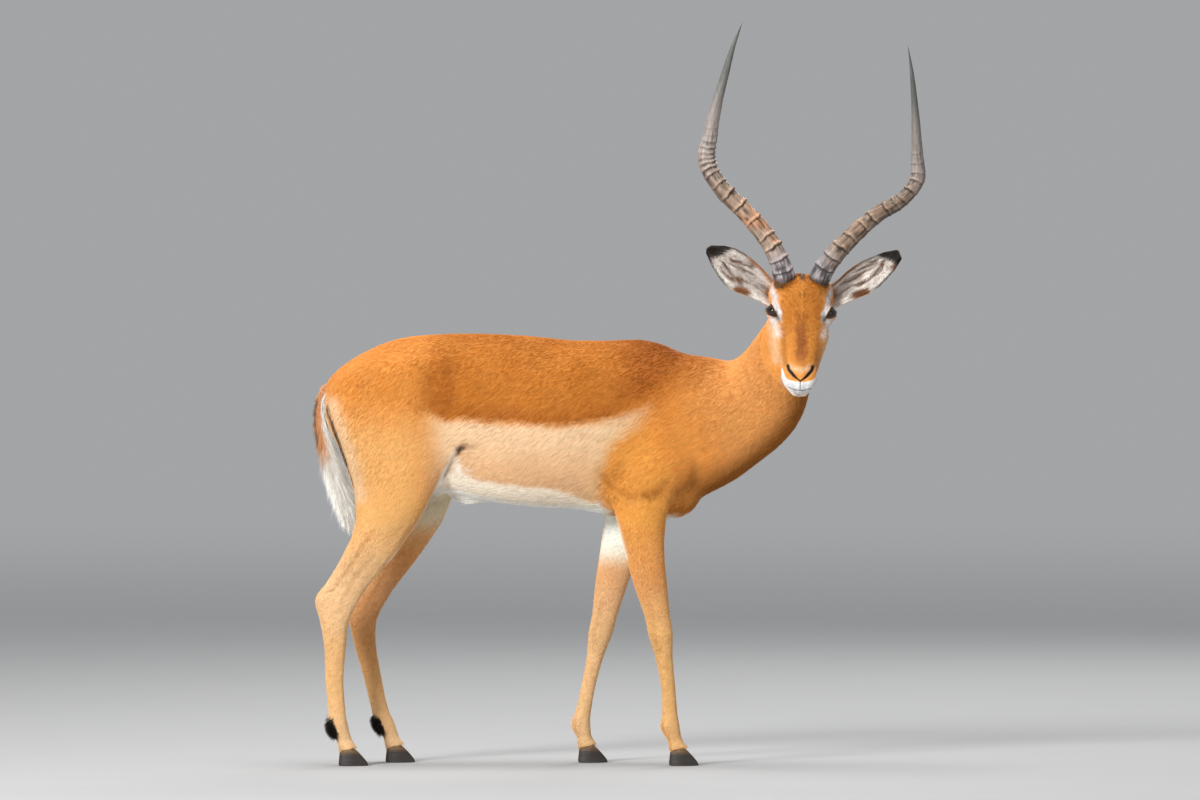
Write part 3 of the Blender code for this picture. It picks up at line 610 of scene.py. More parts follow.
def body_colours(points, normals, paint):
    """The coat's colours on trunk, neck and legs."""
    body = to_frame(points, BODY)
    x, y, z = body.T
    side = columns(x, z)
    tints = Tints(paint.rump, len(points))
    # The neck, from the shoulder to the head.
    tints.lay(paint.neck, ramp(x + 0.4 * (z - 0.7), 0.12, 0.26))
    # The back, with a rather sharp lower edge.
    waver = 0.004 * noise(body, 0.03, 3) + 0.003 * noise(body, 0.012, 4)
    edge = read_off(x, SADDLE_EDGE) + waver
    fore = fade(x - 0.6 * (z - 0.80), 0.06, 0.24)
    aft = ramp(x - 0.3 * (z - 0.80), -0.45, -0.36)
    soft = 0.006 + 0.05 * ramp(x, -0.03, 0.05)
    saddle = ramp(z, edge - soft, edge + soft + 0.004) * fore * (0.22 + 0.78 * aft)
    tints.lay(paint.saddle, saddle * (0.82 + 0.18 * noise(body, 0.05, 5)))
    lower_edge = 0.75 * fade(z, edge, edge + 0.055) * ramp(z, edge - 0.004, edge + 0.008)
    deeper = np.maximum(lower_edge, ramp(x, -0.05, 0.06))
    deeper = np.maximum(deeper * ramp(x, -0.38, -0.30), 0.6 * blot(side, (-0.375, 0.79), (0.045, 0.095)))
    tints.colours *= 1 - (saddle * deeper)[:, None] * (0.28, 0.40, 0.60)
    # The pale band under it.
    front_edge = np.interp(z, (0.56, 0.61, 0.68, 0.73), (-0.040, -0.040, -0.012, 0.016)) + 1.5 * waver
    band = fade(z, edge - 0.012, edge + 0.006) * ramp(x, -0.430, -0.345) * ramp(z, 0.50, 0.56)
    band *= fade(x, front_edge - 0.022, front_edge + 0.020 + 0.05 * ramp(z, 0.66, 0.72))
    tints.lay(paint.flank, band * 0.95)
    tints.lay(paint.rump, 0.30 * band * fade(z, 0.60, 0.70))
    # The thigh and the legs, paler to the feet.
    thigh_light = ramp(-x, 0.36, 0.44) * fade(z, 0.66, 0.78)
    tints.lay(paint.leg, 0.8 * thigh_light)
    fore_leg = ramp(x, -0.22, -0.18)
    low = fore_leg * fade(z, 0.26, 0.42) + (1 - fore_leg) * fade(z, 0.40, 0.56)
    tints.lay(paint.leg, low)
    pale = np.interp(z, (0.05, 0.15, 0.25, 0.34, 0.42, 0.52), (0.75, 0.30, 0.35, 0.80, 0.55, 0.0))
    pale *= (0.8 + 0.2 * noise(body, 0.04, 6)) * (1 - 0.65 * fore_leg)
    tints.lay(paint.flank, pale)
    # White below: the belly, the insides of the legs and the chest's base.
    ahead_fore, ahead_hind = leg_offset(body, "fore"), leg_offset(body, "hind")
    inward = ramp(-normals[:, 1] * np.sign(y), 0.05, 0.5)
    belly_edge = read_off(x, BELLY_EDGE) + 0.6 * waver
    thigh_edge = np.interp(z, *np.array(THIGH_EDGE)[:, ::-1].T)
    before_thigh = np.maximum(fore_leg, ramp(ahead_hind - thigh_edge, -0.006, 0.001))
    white = fade(z, belly_edge - 0.004, belly_edge + 0.005) * fade(x, -0.030, -0.010)
    white *= ramp(z, 0.495, 0.51)
    cream = paint.belly * (0.98, 0.90, 0.80)
    tints.lay(cream, white * before_thigh)
    inside = inward * np.where(x > -0.2, ramp(z, 0.40, 0.45), ramp(z, 0.465, 0.52)) * fade(z, 0.66, 0.70)
    # The insides of the hind legs get a darker copy of the white: painted shade.
    inner_white = np.where(x[:, None] > -0.2, paint.belly, paint.belly * (0.72, 0.64, 0.48))
    tints.lay(inner_white, inside * fade(x, 0.10, 0.14))
    below = inward * fade(z, 0.42, 0.50)
    tints.lay(paint.flank, 0.35 * below * fore_leg)
    # The lower insides of the hind legs: their own brown-orange, darkened with painted shade.
    tints.lay(paint.saddle * 1.05, 0.55 * below * (1 - fore_leg) * ramp(z, 0.10, 0.30))
    chest = blot(body, (0.112, 0.0, 0.516), (0.034, 0.040, 0.016))
    tints.lay(paint.belly, chest * 0.8)
    groin = ramp(-normals[:, 2], 0.25, 0.7) * fade(np.abs(y), 0.030, 0.052) * ramp(z, 0.50, 0.53)
    groin *= ramp(x, -0.58, -0.50) * fade(x, -0.03, 0.01) * fade(z, 0.62, 0.66)
    tints.lay(paint.belly, groin)
    # Pale lines down the back of the forearm and the front of the thigh.
    outer = 1 - inward
    elbow = near_line(columns(ahead_fore, z), ELBOW_EDGE, 0.0065) * fore_leg
    tints.lay(paint.belly, 0.9 * elbow * outer)
    thigh = near_line(columns(ahead_hind + 0.001, z), THIGH_EDGE[:-1], 0.0034) * (1 - fore_leg)
    tints.lay(paint.belly, 0.60 * thigh * outer)
    # Painted shadow: a thin dark line along the thigh's front edge, on the outer side.
    thigh_shadow = near_line(side, ((-0.330, 0.662), (-0.340, 0.647), (-0.352, 0.628), (-0.361, 0.606)), 0.0022)
    tints.lay(paint.saddle * 0.35, 0.65 * thigh_shadow * outer * (1 - fore_leg))
    tints.colours *= 1 + blot(side, (0.030, 0.560), (0.100, 0.160))[:, None] * (0.02, 0.11, 0.09)
    # Painted shade: darker brown patches along the lower edge of the shoulder's muscle, on the outer side.
    for place, size, share in (((0.004, 0.618), (0.016, 0.022), 0.35), ((0.070, 0.570), (0.026, 0.014), 0.45),
                               ((-0.018, 0.600), (0.018, 0.020), 0.30)):
        tints.lay(paint.saddle * 0.8, share * blot(side, place, size) * outer)
    # The tail's surround and the stripe down each buttock.
    behind = fade(np.abs(y), 0.020, 0.042) * ramp(-x, 0.53, 0.56)
    tints.lay(paint.belly, behind * ramp(z, 0.53, 0.58) * fade(z, 0.76, 0.79))
    beside = near_line(side + (-0.012, -0.004), BUTTOCK_STRIPE, 0.016) * (1 - fore_leg)
    tints.lay(paint.flank, 0.75 * beside)
    off_line = distance_to_line(side, BUTTOCK_STRIPE) + 0.0009 * noise(body, (0.004, 1, 0.004), 15)
    stripe = fade(off_line, 0.0022, 0.0042) * (1 - fore_leg) * ramp(np.abs(normals[:, 1]), 0.20, 0.36)
    tints.lay(paint.dark, 0.92 * stripe)
    # Painted shade as a dark spot in the fold of the flank, and the black heels of the hind feet.
    spot = np.maximum(
        blot(side, (-0.3270, 0.6650), (0.0110, 0.0050)), blot(side, (-0.3320, 0.6600), (0.0060, 0.0080)),
    )
    tints.lay(paint.dark, 0.9 * spot * outer)
    heel = (1 - fore_leg) * fade(ahead_hind, -0.014, -0.004) * blot(body, (0, 0, 0.076), (9, 9, 0.022))
    tints.lay(paint.dark, 0.95 * heel)
    # Hair by hair: diagonal streaks on the back, quieter ones elsewhere.
    lie = columns(0.87 * x + 0.50 * z, y, -0.50 * x + 0.87 * z)
    streaks = noise(lie, (0.016, 0.012, 0.0036), 7) + 0.5 * noise(lie, (0.008, 0.006, 0.0020), 8)
    tints.shade(1 + (0.02 + 0.035 * saddle) * streaks)
    tints.shade(1 + 0.05 * noise(body, 0.07, 9) + 0.04 * noise(body, 0.025, 10))
    # Painted shade: the dark lower edge of the neck and chest, where they face down, and darker colour in the
    # folds.
    throat_shade = ramp(normals @ np.array((0.55, 0, -0.83)), 0.25, 0.80) * ramp(x, 0.10, 0.20)
    tints.lay(paint.saddle * (0.68, 0.70, 0.5), 0.93 * throat_shade)
    # Painted shade in the folds of the body, deepest in blue.
    return tints.colours * (1 - 0.42 * body_folds(body))[:, None] ** np.array((0.8, 1.1, 1.4))


def face_colours(points, paint):
    """The coat's colours on the head."""
    head, upright = to_frame(points, HEAD), to_frame(points, UPRIGHT)
    a, y, z = head.T
    wide, tall = np.abs(upright[:, 0]), upright[:, 2]
    front = columns(wide, tall)
    # The face's white: a cooler, darker copy of the belly's, painted shade that offsets the stronger light on
    # the face.
    white = paint.belly * (0.80, 0.84, 0.92)
    tints = Tints(paint.cheek, len(points))
    brow = fade(wide, 0.036, 0.050) * ramp(tall, -0.205, -0.16)
    tints.lay(paint.brow, (0.55 + 0.35 * ramp(tall, -0.12, -0.07)) * brow)
    stripe = fade(wide + 0.003 * noise(upright, (0.004, 9, 0.012), 13), 0.003, 0.018)
    stripe *= ramp(tall, -0.190, -0.150) * fade(tall, -0.130, -0.040)
    tints.lay(paint.brow * (0.52, 0.38, 0.60), 0.85 * stripe)
    flank_line = near_line(front, ((0.037, -0.105), (0.034, -0.150), (0.031, -0.178)), 0.0048)
    tints.lay(paint.brow * 0.72, 0.6 * flank_line)
    # The lips and the chin, white below the nostrils.
    lip_line = ((0.0, -0.2135), (0.010, -0.2120), (0.022, -0.2100), (0.027, -0.2080), (0.0310, -0.2040),
                (0.0335, -0.1960), (0.0365, -0.1880), (0.060, -0.1860))
    lip_edge = read_off(wide, lip_line)
    white_lips = fade(tall, lip_edge - 0.0020, lip_edge + 0.0012) * ramp(a, 0.17, 0.20)
    lower_side = ramp(a, 0.180, 0.235) * ramp(-z, 0.040, 0.052)
    under_jaw = ramp(-z, 0.085, 0.110) * ramp(a, 0.10, 0.17) * fade(np.abs(y), 0.02, 0.04)
    tints.lay(white, np.maximum(np.maximum(0.97 * white_lips, 0.85 * lower_side), under_jaw))
    cream = ramp(-tall, 0.234, 0.242) * white_lips
    tints.lay(paint.flank, 0.5 * cream)
    # Painted highlight: a pale patch between the arms of the nostrils.
    nose_highlight = near_line(front, ((0.0, -0.190), (0.016, -0.186), (0.024, -0.178)), 0.0060)
    tints.lay(paint.flank, 0.65 * (nose_highlight * ramp(a, 0.19, 0.21)))
    # White over and under the eyes, and a thin pale line on down the face.
    ahead = fade(upright[:, 1], 0.012, 0.045)
    over = near_line(front, ((0.0650, -0.016), (0.0600, -0.032), (0.0545, -0.044)), 0.0066)
    inner = near_line(front, ((0.0545, -0.044), (0.0475, -0.064), (0.0430, -0.090)), 0.0032)
    tints.lay(white, 0.9 * np.maximum(over, inner) * ahead)
    under = near_line(front, ((0.0590, -0.094), (0.0540, -0.104), (0.0500, -0.118)), 0.0088)
    tints.lay(white, 0.85 * under * (0.25 + 0.75 * ahead))
    side = near_line(front, ((0.0570, -0.110), (0.0530, -0.141), (0.0460, -0.178)), 0.0085)
    tints.lay(paint.flank, 0.65 * side)
    # Black at the horns' roots, between them, in front of the eyes, and round the lids.
    poll = blot(front, (0.0, 0.008), (0.0060, 0.0150))
    tints.lay(paint.dark, 0.9 * poll)
    fringe = fade(horn_gap(upright) + 0.0022 * noise(upright, (0.0025, 0.0025, 0.02), 14), 0.0005, 0.0038)
    tints.lay(paint.dark, 0.80 * fringe)
    tints.lay(paint.brow * 0.4, 0.6 * blot(front, (0.004, -0.036), (0.003, 0.006)))
    lid = eye_rim_distance(head)
    rim = fade(lid, 0.0016, 0.0036)
    tints.lay(paint.dark, 0.96 * rim)
    halo = ramp(lid, 0.0022, 0.0040) * fade(lid, 0.0080, 0.0105)
    inward = fade(wide, 0.0560, 0.0640) * ramp(tall, -0.088, -0.074)
    beneath = 0.55 * fade(tall, -0.084, -0.076) * ahead
    tints.lay(white, (0.30 + 0.60 * np.maximum(inward, beneath)) * halo)
    gland = near_line(front, ((0.0530, -0.0790), (0.0475, -0.0860)), 0.0050)
    tints.lay(paint.dark, 0.80 * gland * ahead)
    # The nostrils, the groove between them and the line of the mouth.
    nostril, philtrum, mouth = face_grooves(head, upright)
    tints.lay(paint.dark, ramp(nostril, 0.20, 0.62))
    tints.lay(paint.dark, 0.9 * ramp(philtrum, 0.3, 0.75))
    tints.lay(paint.dark * 2, 0.9 * ramp(mouth, 0.25, 0.75))
    streaks = noise(head, (0.007, 0.0022, 0.0022), 11)
    tints.shade(1 + 0.09 * streaks + 0.05 * noise(head, 0.015, 12))
    return tints.colours


def coat_colours(points, normals):
    """The markings, with painted shade and highlights, in the same colours on the skin and on the tufts over
    it.
    """
    paint = palette()
    on_head = head_share(points)[:, None]
    body = body_colours(points, normals, paint)
    return np.clip(body + (face_colours(points, paint) - body) * on_head, 0.004, 1)


# ---------------------------------------------------------------- relief


def body_folds(body):
    """Where the skin folds and the muscles part, 1 in the depth of a groove."""
    x, y, z = body.T
    side = columns(x, z)
    fore, hind = leg_offset(body, "fore"), leg_offset(body, "hind")
    outer = ramp(np.abs(y), 0.03, 0.06)
    flank = near_line(side, ((-0.318, 0.672), (-0.332, 0.660), (-0.346, 0.640), (-0.352, 0.615)), 0.008)
    blade = ((-0.045, 0.615), (-0.020, 0.580), (0.022, 0.560), (0.070, 0.560), (0.100, 0.590))
    shoulder = near_line(side, blade, 0.010)
    tendon = columns(hind, z)
    heel = near_line(tendon, ((-0.020, 0.475), (-0.024, 0.440), (-0.020, 0.400), (-0.024, 0.365)), 0.0055)
    shin = near_line(tendon, ((0.012, 0.440), (0.004, 0.400), (0.010, 0.360), (0.012, 0.320)), 0.0055)
    front = columns(fore, z)
    knee = near_line(front, ((-0.010, 0.330), (-0.014, 0.270), (-0.006, 0.235)), 0.006)
    is_hind = fade(x, -0.25, -0.20)
    is_fore = ramp(x, -0.18, -0.12)
    high = outer * (0.9 * flank + 0.60 * shoulder)
    return np.clip(high + is_hind * (0.55 * heel + 0.30 * shin) + is_fore * 0.3 * knee, 0, 1)


def face_grooves(head, upright):
    """The nostrils, the groove between them and the line of the mouth, each 1 in its depth."""
    out, up = np.abs(upright[:, 0]), upright[:, 2]
    front = columns(out, up)
    ahead = ramp(head[:, 0], 0.182, 0.200)
    slit = ((0.0262, -0.1815), (0.0245, -0.1890), (0.0160, -0.1980), (0.0065, -0.2065), (0.0, -0.2110))
    widths = 0.0018 + 0.0017 * ramp(out, 0.004, 0.016)
    nostril = near_line(front, slit, widths) * ahead
    philtrum = near_line(front, ((0.0, -0.2110), (0.0, -0.2297)), 0.0011) * ahead
    a, y, z = head.T
    level = -0.2312 + 0.0060 * (out / 0.024) ** 2
    lips = bell(up - level, 0.0010) * fade(out, 0.022, 0.028) * ahead
    corner = near_line(columns(a, z), ((0.250, -0.044), (0.225, -0.052), (0.190, -0.063)), 0.0014)
    corner *= ramp(np.abs(y), 0.016, 0.024)
    return nostril, philtrum, np.maximum(lips, corner)


def horn_gap(upright):
    """How far points lie outside the nearer horn near its root."""
    nearest = np.full(len(upright), 0.05)
    for side, side_sign in SIGNS.items():
        for x, y, z, radius in smooth_rows(HORNS[side], 8)[7:15]:
            away = np.linalg.norm(upright - (side_sign * x, y, z), axis=1) - radius
            nearest = np.minimum(nearest, away)
    return nearest


def eye_centre(side_sign):
    """An eye's middle in the frame of the head."""
    return np.array((EYE_PLACE.x, side_sign * EYE_PLACE.y, EYE_PLACE.z))


def eye_axes(side_sign):
    """The way an eye looks out, the way its slit runs, and the way to its upper lid."""
    out = Vector((0.025, side_sign * 0.711, 0.702)).normalized()
    along = Vector((0.865, -side_sign * 0.450, 0.217))
    along = (along - out * along.dot(out)).normalized()
    upper = out.cross(along) * side_sign
    return np.array(out), np.array(along), np.array(upper)


EYE_RADIUS = (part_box("eye_left")[1].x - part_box("eye_left")[0].x) / 2
# How far the slit between the lids reaches from its middle, as angles at the eye's centre.
EYE_SLIT = {"along": math.radians(49), "up": math.radians(23), "down": math.radians(20)}


def eye_slit(head, side_sign):
    """Each point's distance from an eye's centre, how far it lies outside the slit, and its way there."""
    out, along, upper = eye_axes(side_sign)
    away = head - eye_centre(side_sign)
    reach = np.linalg.norm(away, axis=1)
    facing = away @ out
    alpha = np.arctan2(away @ along, facing)
    beta = np.arctan2(away @ upper, np.hypot(facing, away @ along) * np.sign(facing))
    tall_half = np.where(beta > 0, EYE_SLIT["up"], EYE_SLIT["down"])
    size = (np.abs(alpha / EYE_SLIT["along"]) ** 1.7 + np.abs(beta / tall_half) ** 1.7) ** (1 / 1.7)
    return reach, np.where(facing > 0, (size - 1) * tall_half * EYE_RADIUS, 0.05), away


def eye_rim_distance(head):
    """How far points lie outside the nearer eye's slit; far from the eyes, a large number."""
    nearest = np.full(len(head), 0.05)
    for side_sign in (-1, 1):
        reach, outside, _ = eye_slit(head, side_sign)
        near = reach < EYE_RADIUS + 0.012
        nearest = np.where(near, np.minimum(nearest, outside), nearest)
    return nearest


def carve_eyes(head):
    """Opens the lids over the eyeballs."""
    head = head.copy()
    for side_sign in (-1, 1):
        reach, outside, away = eye_slit(head, side_sign)
        near = reach < EYE_RADIUS + 0.020
        open_depth, rim, lid = EYE_RADIUS - 0.0040, EYE_RADIUS + 0.0022, EYE_RADIUS + 0.0014
        edge = ramp(outside, -0.0014, 0.0004)
        target = open_depth + (rim - open_depth) * edge
        target -= (rim - lid) * ramp(outside, 0.0020, 0.0045)
        fold = 0.0012 * bell(outside - 0.0065, 0.0014)
        settle = ramp(outside, 0.003, 0.007)
        kept = np.maximum(reach, lid)
        target = target * (1 - settle) + kept * settle - fold
        held = near & (outside < 0.020)
        head[held] += (away[held] / reach[held, None]) * (target - reach)[held, None]
    return head


def steered(flow, way, share):
    """Directions turned another way where share is 1."""
    share = share[:, None]
    return flow * (1 - share) + np.asarray(way) * share


def lie_of_coat(points, normals):
    """The way the hair lies: back and down over the body, down the legs, up the face and round the jaw."""
    x, _, z = to_frame(points, BODY).T
    flow = np.tile((-0.80, 0.0, -0.60), (len(points), 1))
    flow = steered(flow, (-0.16, 0.0, -0.98), fade(z, 0.46, 0.66))
    flow = steered(flow, (-0.40, 0.0, -0.90), 0.7 * (ramp(-x, 0.36, 0.46) * fade(z, 0.76, 0.86)))
    flow = steered(flow, (-0.62, 0.36, -0.70), ramp(x, 0.16, 0.30))
    flow = steered(flow, (-1.0, 0.0, 0.0), ramp(-normals[:, 2], 0.5, 0.9) * ramp(z, 0.48, 0.52))
    head = to_frame(points, HEAD)
    sideways = columns(0 * x - 0.9, 0.5 * np.sign(head[:, 1]), 0 * x - 0.35)
    straight = columns(0 * x - 1.0, 0.25 * np.sign(head[:, 1]), 0 * x - 0.25)
    face = steered(sideways, straight, ramp(head[:, 0], 0.02, 0.12)) @ np.array(HEAD.to_3x3()).T
    flow = steered(flow, face, head_share(points))
    flow = flow + 0.10 * columns(*(noise(points, 0.05, seed) for seed in (20, 21, 22)))
    return laid_along(flow, normals)


# ---------------------------------------------------------------- ears


def ear_frame(side):
    side_sign = SIGNS[side]
    root, tip = (np.array(EARS[side][end]) * (side_sign, 1, 1) for end in ("root", "tip"))
    along = unit(tip - root)
    ahead = np.array((side_sign * 0.25, -1, 0.05))
    ahead = unit(ahead - along * (ahead @ along))
    return root, tip, ahead, np.cross(along, ahead) * side_sign


def ear_forward(side):
    """The way an ear's inner face looks, in the world."""
    return np.array(UPRIGHT.to_3x3()) @ ear_frame(side)[2]


def ear_reaches(side, share):
    """How far an ear reaches over and under its middle line, at shares of its length."""
    shares = np.append(EAR_SHARES, 1.0)
    return (np.interp(share, shares, np.append(EARS[side][edge], EAR_END)) for edge in ("over", "under"))


def ear_points(side, share, across):
    """Points of an ear's leaf: share from root to tip, across from its upper edge at -1 to its lower at 1."""
    root, tip, ahead, down = ear_frame(side)
    over, under = ear_reaches(side, share)
    widest = max(EARS[side]["over"]) + max(EARS[side]["under"])
    cup = EAR_CUP * (1 - 0.7 * share) * (0.3 + 0.7 * (over + under) / widest)
    reach = np.where(across > 0, under, over) * across
    rib = 0.0006 * np.cos(across * 14) * (1 - across**2) * ramp(share, 0.1, 0.3) * fade(share, 0.7, 0.95)
    place = root + share[:, None] * (tip - root) + reach[:, None] * down
    place += (cup * (across**2 - 0.6) - rib)[:, None] * ahead
    return from_frame(place, UPRIGHT)


def ear_colours(side, share, across, inside, paint):
    """An ear's colours: pale, streaked hair inside, red-brown outside, with a black tip and rims."""
    grid = columns(share * 0.16, across * 0.03, 0 * share)
    # The inner hair, lightened by EAR_LIGHT: painted light, more on the left ear in shade.
    tints = Tints(paint.ear_hair * EAR_LIGHT[side], len(share))
    brown = paint.saddle * 0.55
    leaf = columns(share, across)
    streak = noise(grid, (0.03, 0.0026, 1), 30 + (side == "left")) + 0.5 * noise(grid, (0.012, 0.0012, 1), 31)
    swirl = grid + 0.012 * columns(noise(grid, 0.02, 33), noise(grid, 0.02, 34), 0 * share)
    locks = noise(swirl, (0.024, 0.0060, 1), 35 + (side == "left"))
    fine = noise(swirl, (0.010, 0.0022, 1), 37)
    tints.shade(1 + 0.20 * streak + 0.34 * locks + 0.16 * fine)
    tints.lay(brown * 0.7, 0.75 * ramp(-locks, 0.30, 0.62) * ramp(share, 0.15, 0.35))
    tints.lay(brown, 0.45 * ramp(streak, 0.35, 0.8) * ramp(share, 0.2, 0.5))
    ragged = 0.55 + 0.45 * ramp(streak + locks, -0.7, 0.3)
    for line, width, strength in (
        (((0.74, 0.20), (0.60, 0.44), (0.50, 0.46), (0.41, 0.33)), 0.045, 0.85),
        (((0.66, -0.28), (0.47, -0.55)), 0.050, 0.80), (((0.60, -0.04), (0.40, -0.30)), 0.055, 0.75),
        (((0.30, 0.30), (0.12, 0.36)), 0.060, 0.60), (((0.06, 0.42), (0.02, 0.50)), 0.050, 0.90),
    ):
        tints.lay(brown * 0.42, strength * near_line(leaf, line, width) * ragged)
    rust = near_line(leaf, ((0.50, -0.98), (0.30, -0.96), (0.10, -0.86)), 0.16)
    tints.lay(brown * 1.1, 0.85 * rust)
    tints.lay(brown * 0.5, 0.9 * fade(share, 0.05, 0.22) * fade(np.abs(across), 0.3, 0.7))
    pale = ramp(across, 0.62, 0.80) * fade(share, 0.75, 0.86)
    pale = pale + 0.7 * ramp(-across, 0.60, 0.80) * ramp(share, 0.45, 0.6)
    tints.lay(paint.belly, 0.75 * np.clip(pale, 0, 1))
    lower = blot(leaf, (0.38, 0.88), (0.125, 0.27))
    tints.lay(brown * (0.75 + 0.5 * ramp(streak, -0.3, 0.6))[:, None], 0.95 * lower)
    tints.colours = np.where(inside[:, None], tints.colours, paint.rump * 0.9)
    rim = ramp(np.abs(across), 0.93, 0.985) * ramp(share, 0.45, 0.62)
    tints.lay(paint.dark, 0.75 * rim)
    tip = ramp(share + 0.02 * streak - 0.075 * across, 0.80, 0.86)
    tints.lay(paint.dark, 0.95 * tip)
    return tints.colours


def ear_mesh(side, paint):
    """A leaf-shaped cup with a wall that thins to its rim."""
    def leaf(u, v):
        """u runs over the inner face and back over the outer one."""
        inside = u < 0.5
        across = np.where(inside, 4 * u - 1, 3 - 4 * u)
        wall = EAR_WALL * (1 - 0.55 * v) * (1 - across**6) * np.where(inside, -0.15, 1.0)
        return ear_points(side, v, across) - wall[:, None] * ear_forward(side)

    mesh = surface(f"ear_{side}_leaf", leaf, 96, 64)
    points = points_of(mesh)
    root, tip, _, down = ear_frame(side)
    local = to_frame(points, UPRIGHT) - root
    along = unit(tip - root)
    share = np.clip(local @ along / np.linalg.norm(tip - root), 0, 1)
    over, under = ear_reaches(side, share)
    reach = local @ down
    across = np.clip(np.where(reach > 0, reach / under, reach / over), -1, 1)
    inside = normals_of(mesh) @ ear_forward(side) > 0
    add_tint(mesh, ear_colours(side, share, across, inside, paint))
    return mesh


# ---------------------------------------------------------------- tufts


COAT_TUFTS = {"neck": 30000, "legs_fore": 40000, "legs_hind": 46000, "head": 48000}
LONG_TUFTS = {"ear": (11000, 2200), "tail": (11000, 2500), "heels": (3600, 700)}


def long_tufts(name):
    full, few = LONG_TUFTS[name]
    return full


def add_tufts(
    name, finish, slot, roots, normals, flows, lengths, widths, lifts, colours, places, tip_light=1.12,
):
    """A piece of flat-lying tufts, each a slim closed wedge with its own patch of the map OFBake."""
    count = len(roots)
    half = np.cross(normals, flows) * widths[:, None] / 2
    sunk = roots - normals * 0.0004
    crest = roots + flows * (lengths * 0.38)[:, None] + normals * (0.13 * widths + 0.50 * lifts)[:, None]
    tips = roots + flows * lengths[:, None] + normals * lifts[:, None]
    corners = columns(sunk - half, sunk + half, crest, tips)
    wedge = np.array(((0, 3, 2), (2, 3, 1), (0, 2, 1), (0, 1, 3)))
    loops = (4 * np.arange(count)[:, None, None] + wedge[None]).ravel()
    mesh = bpy.data.meshes.new(name)
    mesh.vertices.add(4 * count)
    mesh.vertices.foreach_set("co", corners.astype(np.float32).ravel())
    mesh.loops.add(12 * count)
    mesh.loops.foreach_set("vertex_index", loops.astype(np.int32))
    mesh.polygons.add(4 * count)
    mesh.polygons.foreach_set("loop_start", np.arange(0, 12 * count, 3, dtype=np.int32))
    mesh.update(calc_edges=True)
    mesh.shade_flat()
    light = np.array((0.90, 0.90, 1.0, tip_light))
    add_tint(mesh, (colours[:, None, :] * light[None, :, None]).reshape(-1, 3))
    patch = 0.0015 * np.array(((-1, -1), (1, -1), (0, 0), (0, 1)))
    spots = (places[:, None, :] + patch[None]).reshape(-1, 2)
    mapped = mesh.uv_layers.new(name="OFBake")
    mapped.data.foreach_set("uv", spots[loops].astype(np.float32).ravel())
    add_piece(name, mesh, finish, slot)


def unrolled(points, direction, low=0.0, high=1.0, bins=28):
    """Places of points when their skin is cut along its length and rolled out, between low and high."""
    direction = np.asarray(direction, float)
    reach = points @ direction
    share = (reach - reach.min()) / (reach.max() - reach.min() + 1e-9)
    steps = np.minimum((share * bins).astype(int), bins - 1)
    held = np.maximum(np.bincount(steps, minlength=bins), 1)
    line = columns(*(np.bincount(steps, column, minlength=bins) / held for column in points.T))
    middle_line = row_at(share, (np.arange(bins) + 0.5) / bins, line)
    across = unit(np.cross(direction, (0.31, 0.9, 0.30)))
    beside = np.cross(direction, across)
    away = points - middle_line
    angle = np.arctan2(away @ beside, away @ across) / math.tau + 0.5
    return columns(low + (high - low) * (0.01 + 0.98 * angle), 0.01 + 0.98 * share)


def unrolled_legs(roots, bins=28):
    """The left leg rolled out over one half of the map and the right leg over the other."""
    left = to_frame(roots, BODY)[:, 1] > 0
    places = np.empty((len(roots), 2))
    places[left] = unrolled(roots[left], (0, 0, 1), 0.0, 0.49, bins)
    places[~left] = unrolled(roots[~left], (0, 0, 1), 0.51, 1.0, bins)
    return places


def scattered(mesh, weights, count, seed):
    """Points on a mesh, closer together where its vertices weigh more, with their normals."""
    mesh.calc_loop_triangles()
    triangles = np.empty(len(mesh.loop_triangles) * 3, np.int32)
    mesh.loop_triangles.foreach_get("vertices", triangles)
    triangles = triangles.reshape(-1, 3)
    points, normals = points_of(mesh), normals_of(mesh)
    a, b, c = (points[triangles[:, k]] for k in range(3))
    share = np.linalg.norm(np.cross(b - a, c - a), axis=1) * np.median(weights[triangles], axis=1)
    chance = np.random.default_rng(seed)
    ends = np.cumsum(share)
    picked = triangles[np.minimum(np.searchsorted(ends, chance.random(count) * ends[-1]), len(ends) - 1)]
    u, v = chance.random(count), chance.random(count)
    fold = u + v > 1
    u, v = np.where(fold, 1 - u, u), np.where(fold, 1 - v, v)
    mix = columns(1 - u - v, u, v)[:, :, None]
    return (points[picked] * mix).sum(axis=1), unit((normals[picked] * mix).sum(axis=1)), chance


def grow(name, skin, finish, weights, count, seed, size, places):
    """A coat piece: tufts that lie along the skin, sized and lifted by size(points, normals)."""
    roots, normals, chance = scattered(skin, weights, count, seed)
    lengths, widths, lifts = size(roots, normals)
    flows = lie_of_coat(roots, normals)
    side = np.cross(normals, flows)
    flows = unit(flows + side * chance.normal(0, 0.16, count)[:, None])
    lengths = lengths * (0.72 + 0.56 * chance.random(count))
    lifts = lifts * (0.35 + 1.1 * chance.random(count))
    colours = coat_colours(roots, normals) * (0.97 + 0.16 * chance.random(count))[:, None]
    add_tufts(name, finish, "rufous_coat", roots, normals, flows, lengths, widths, lifts, colours,
              places(roots))


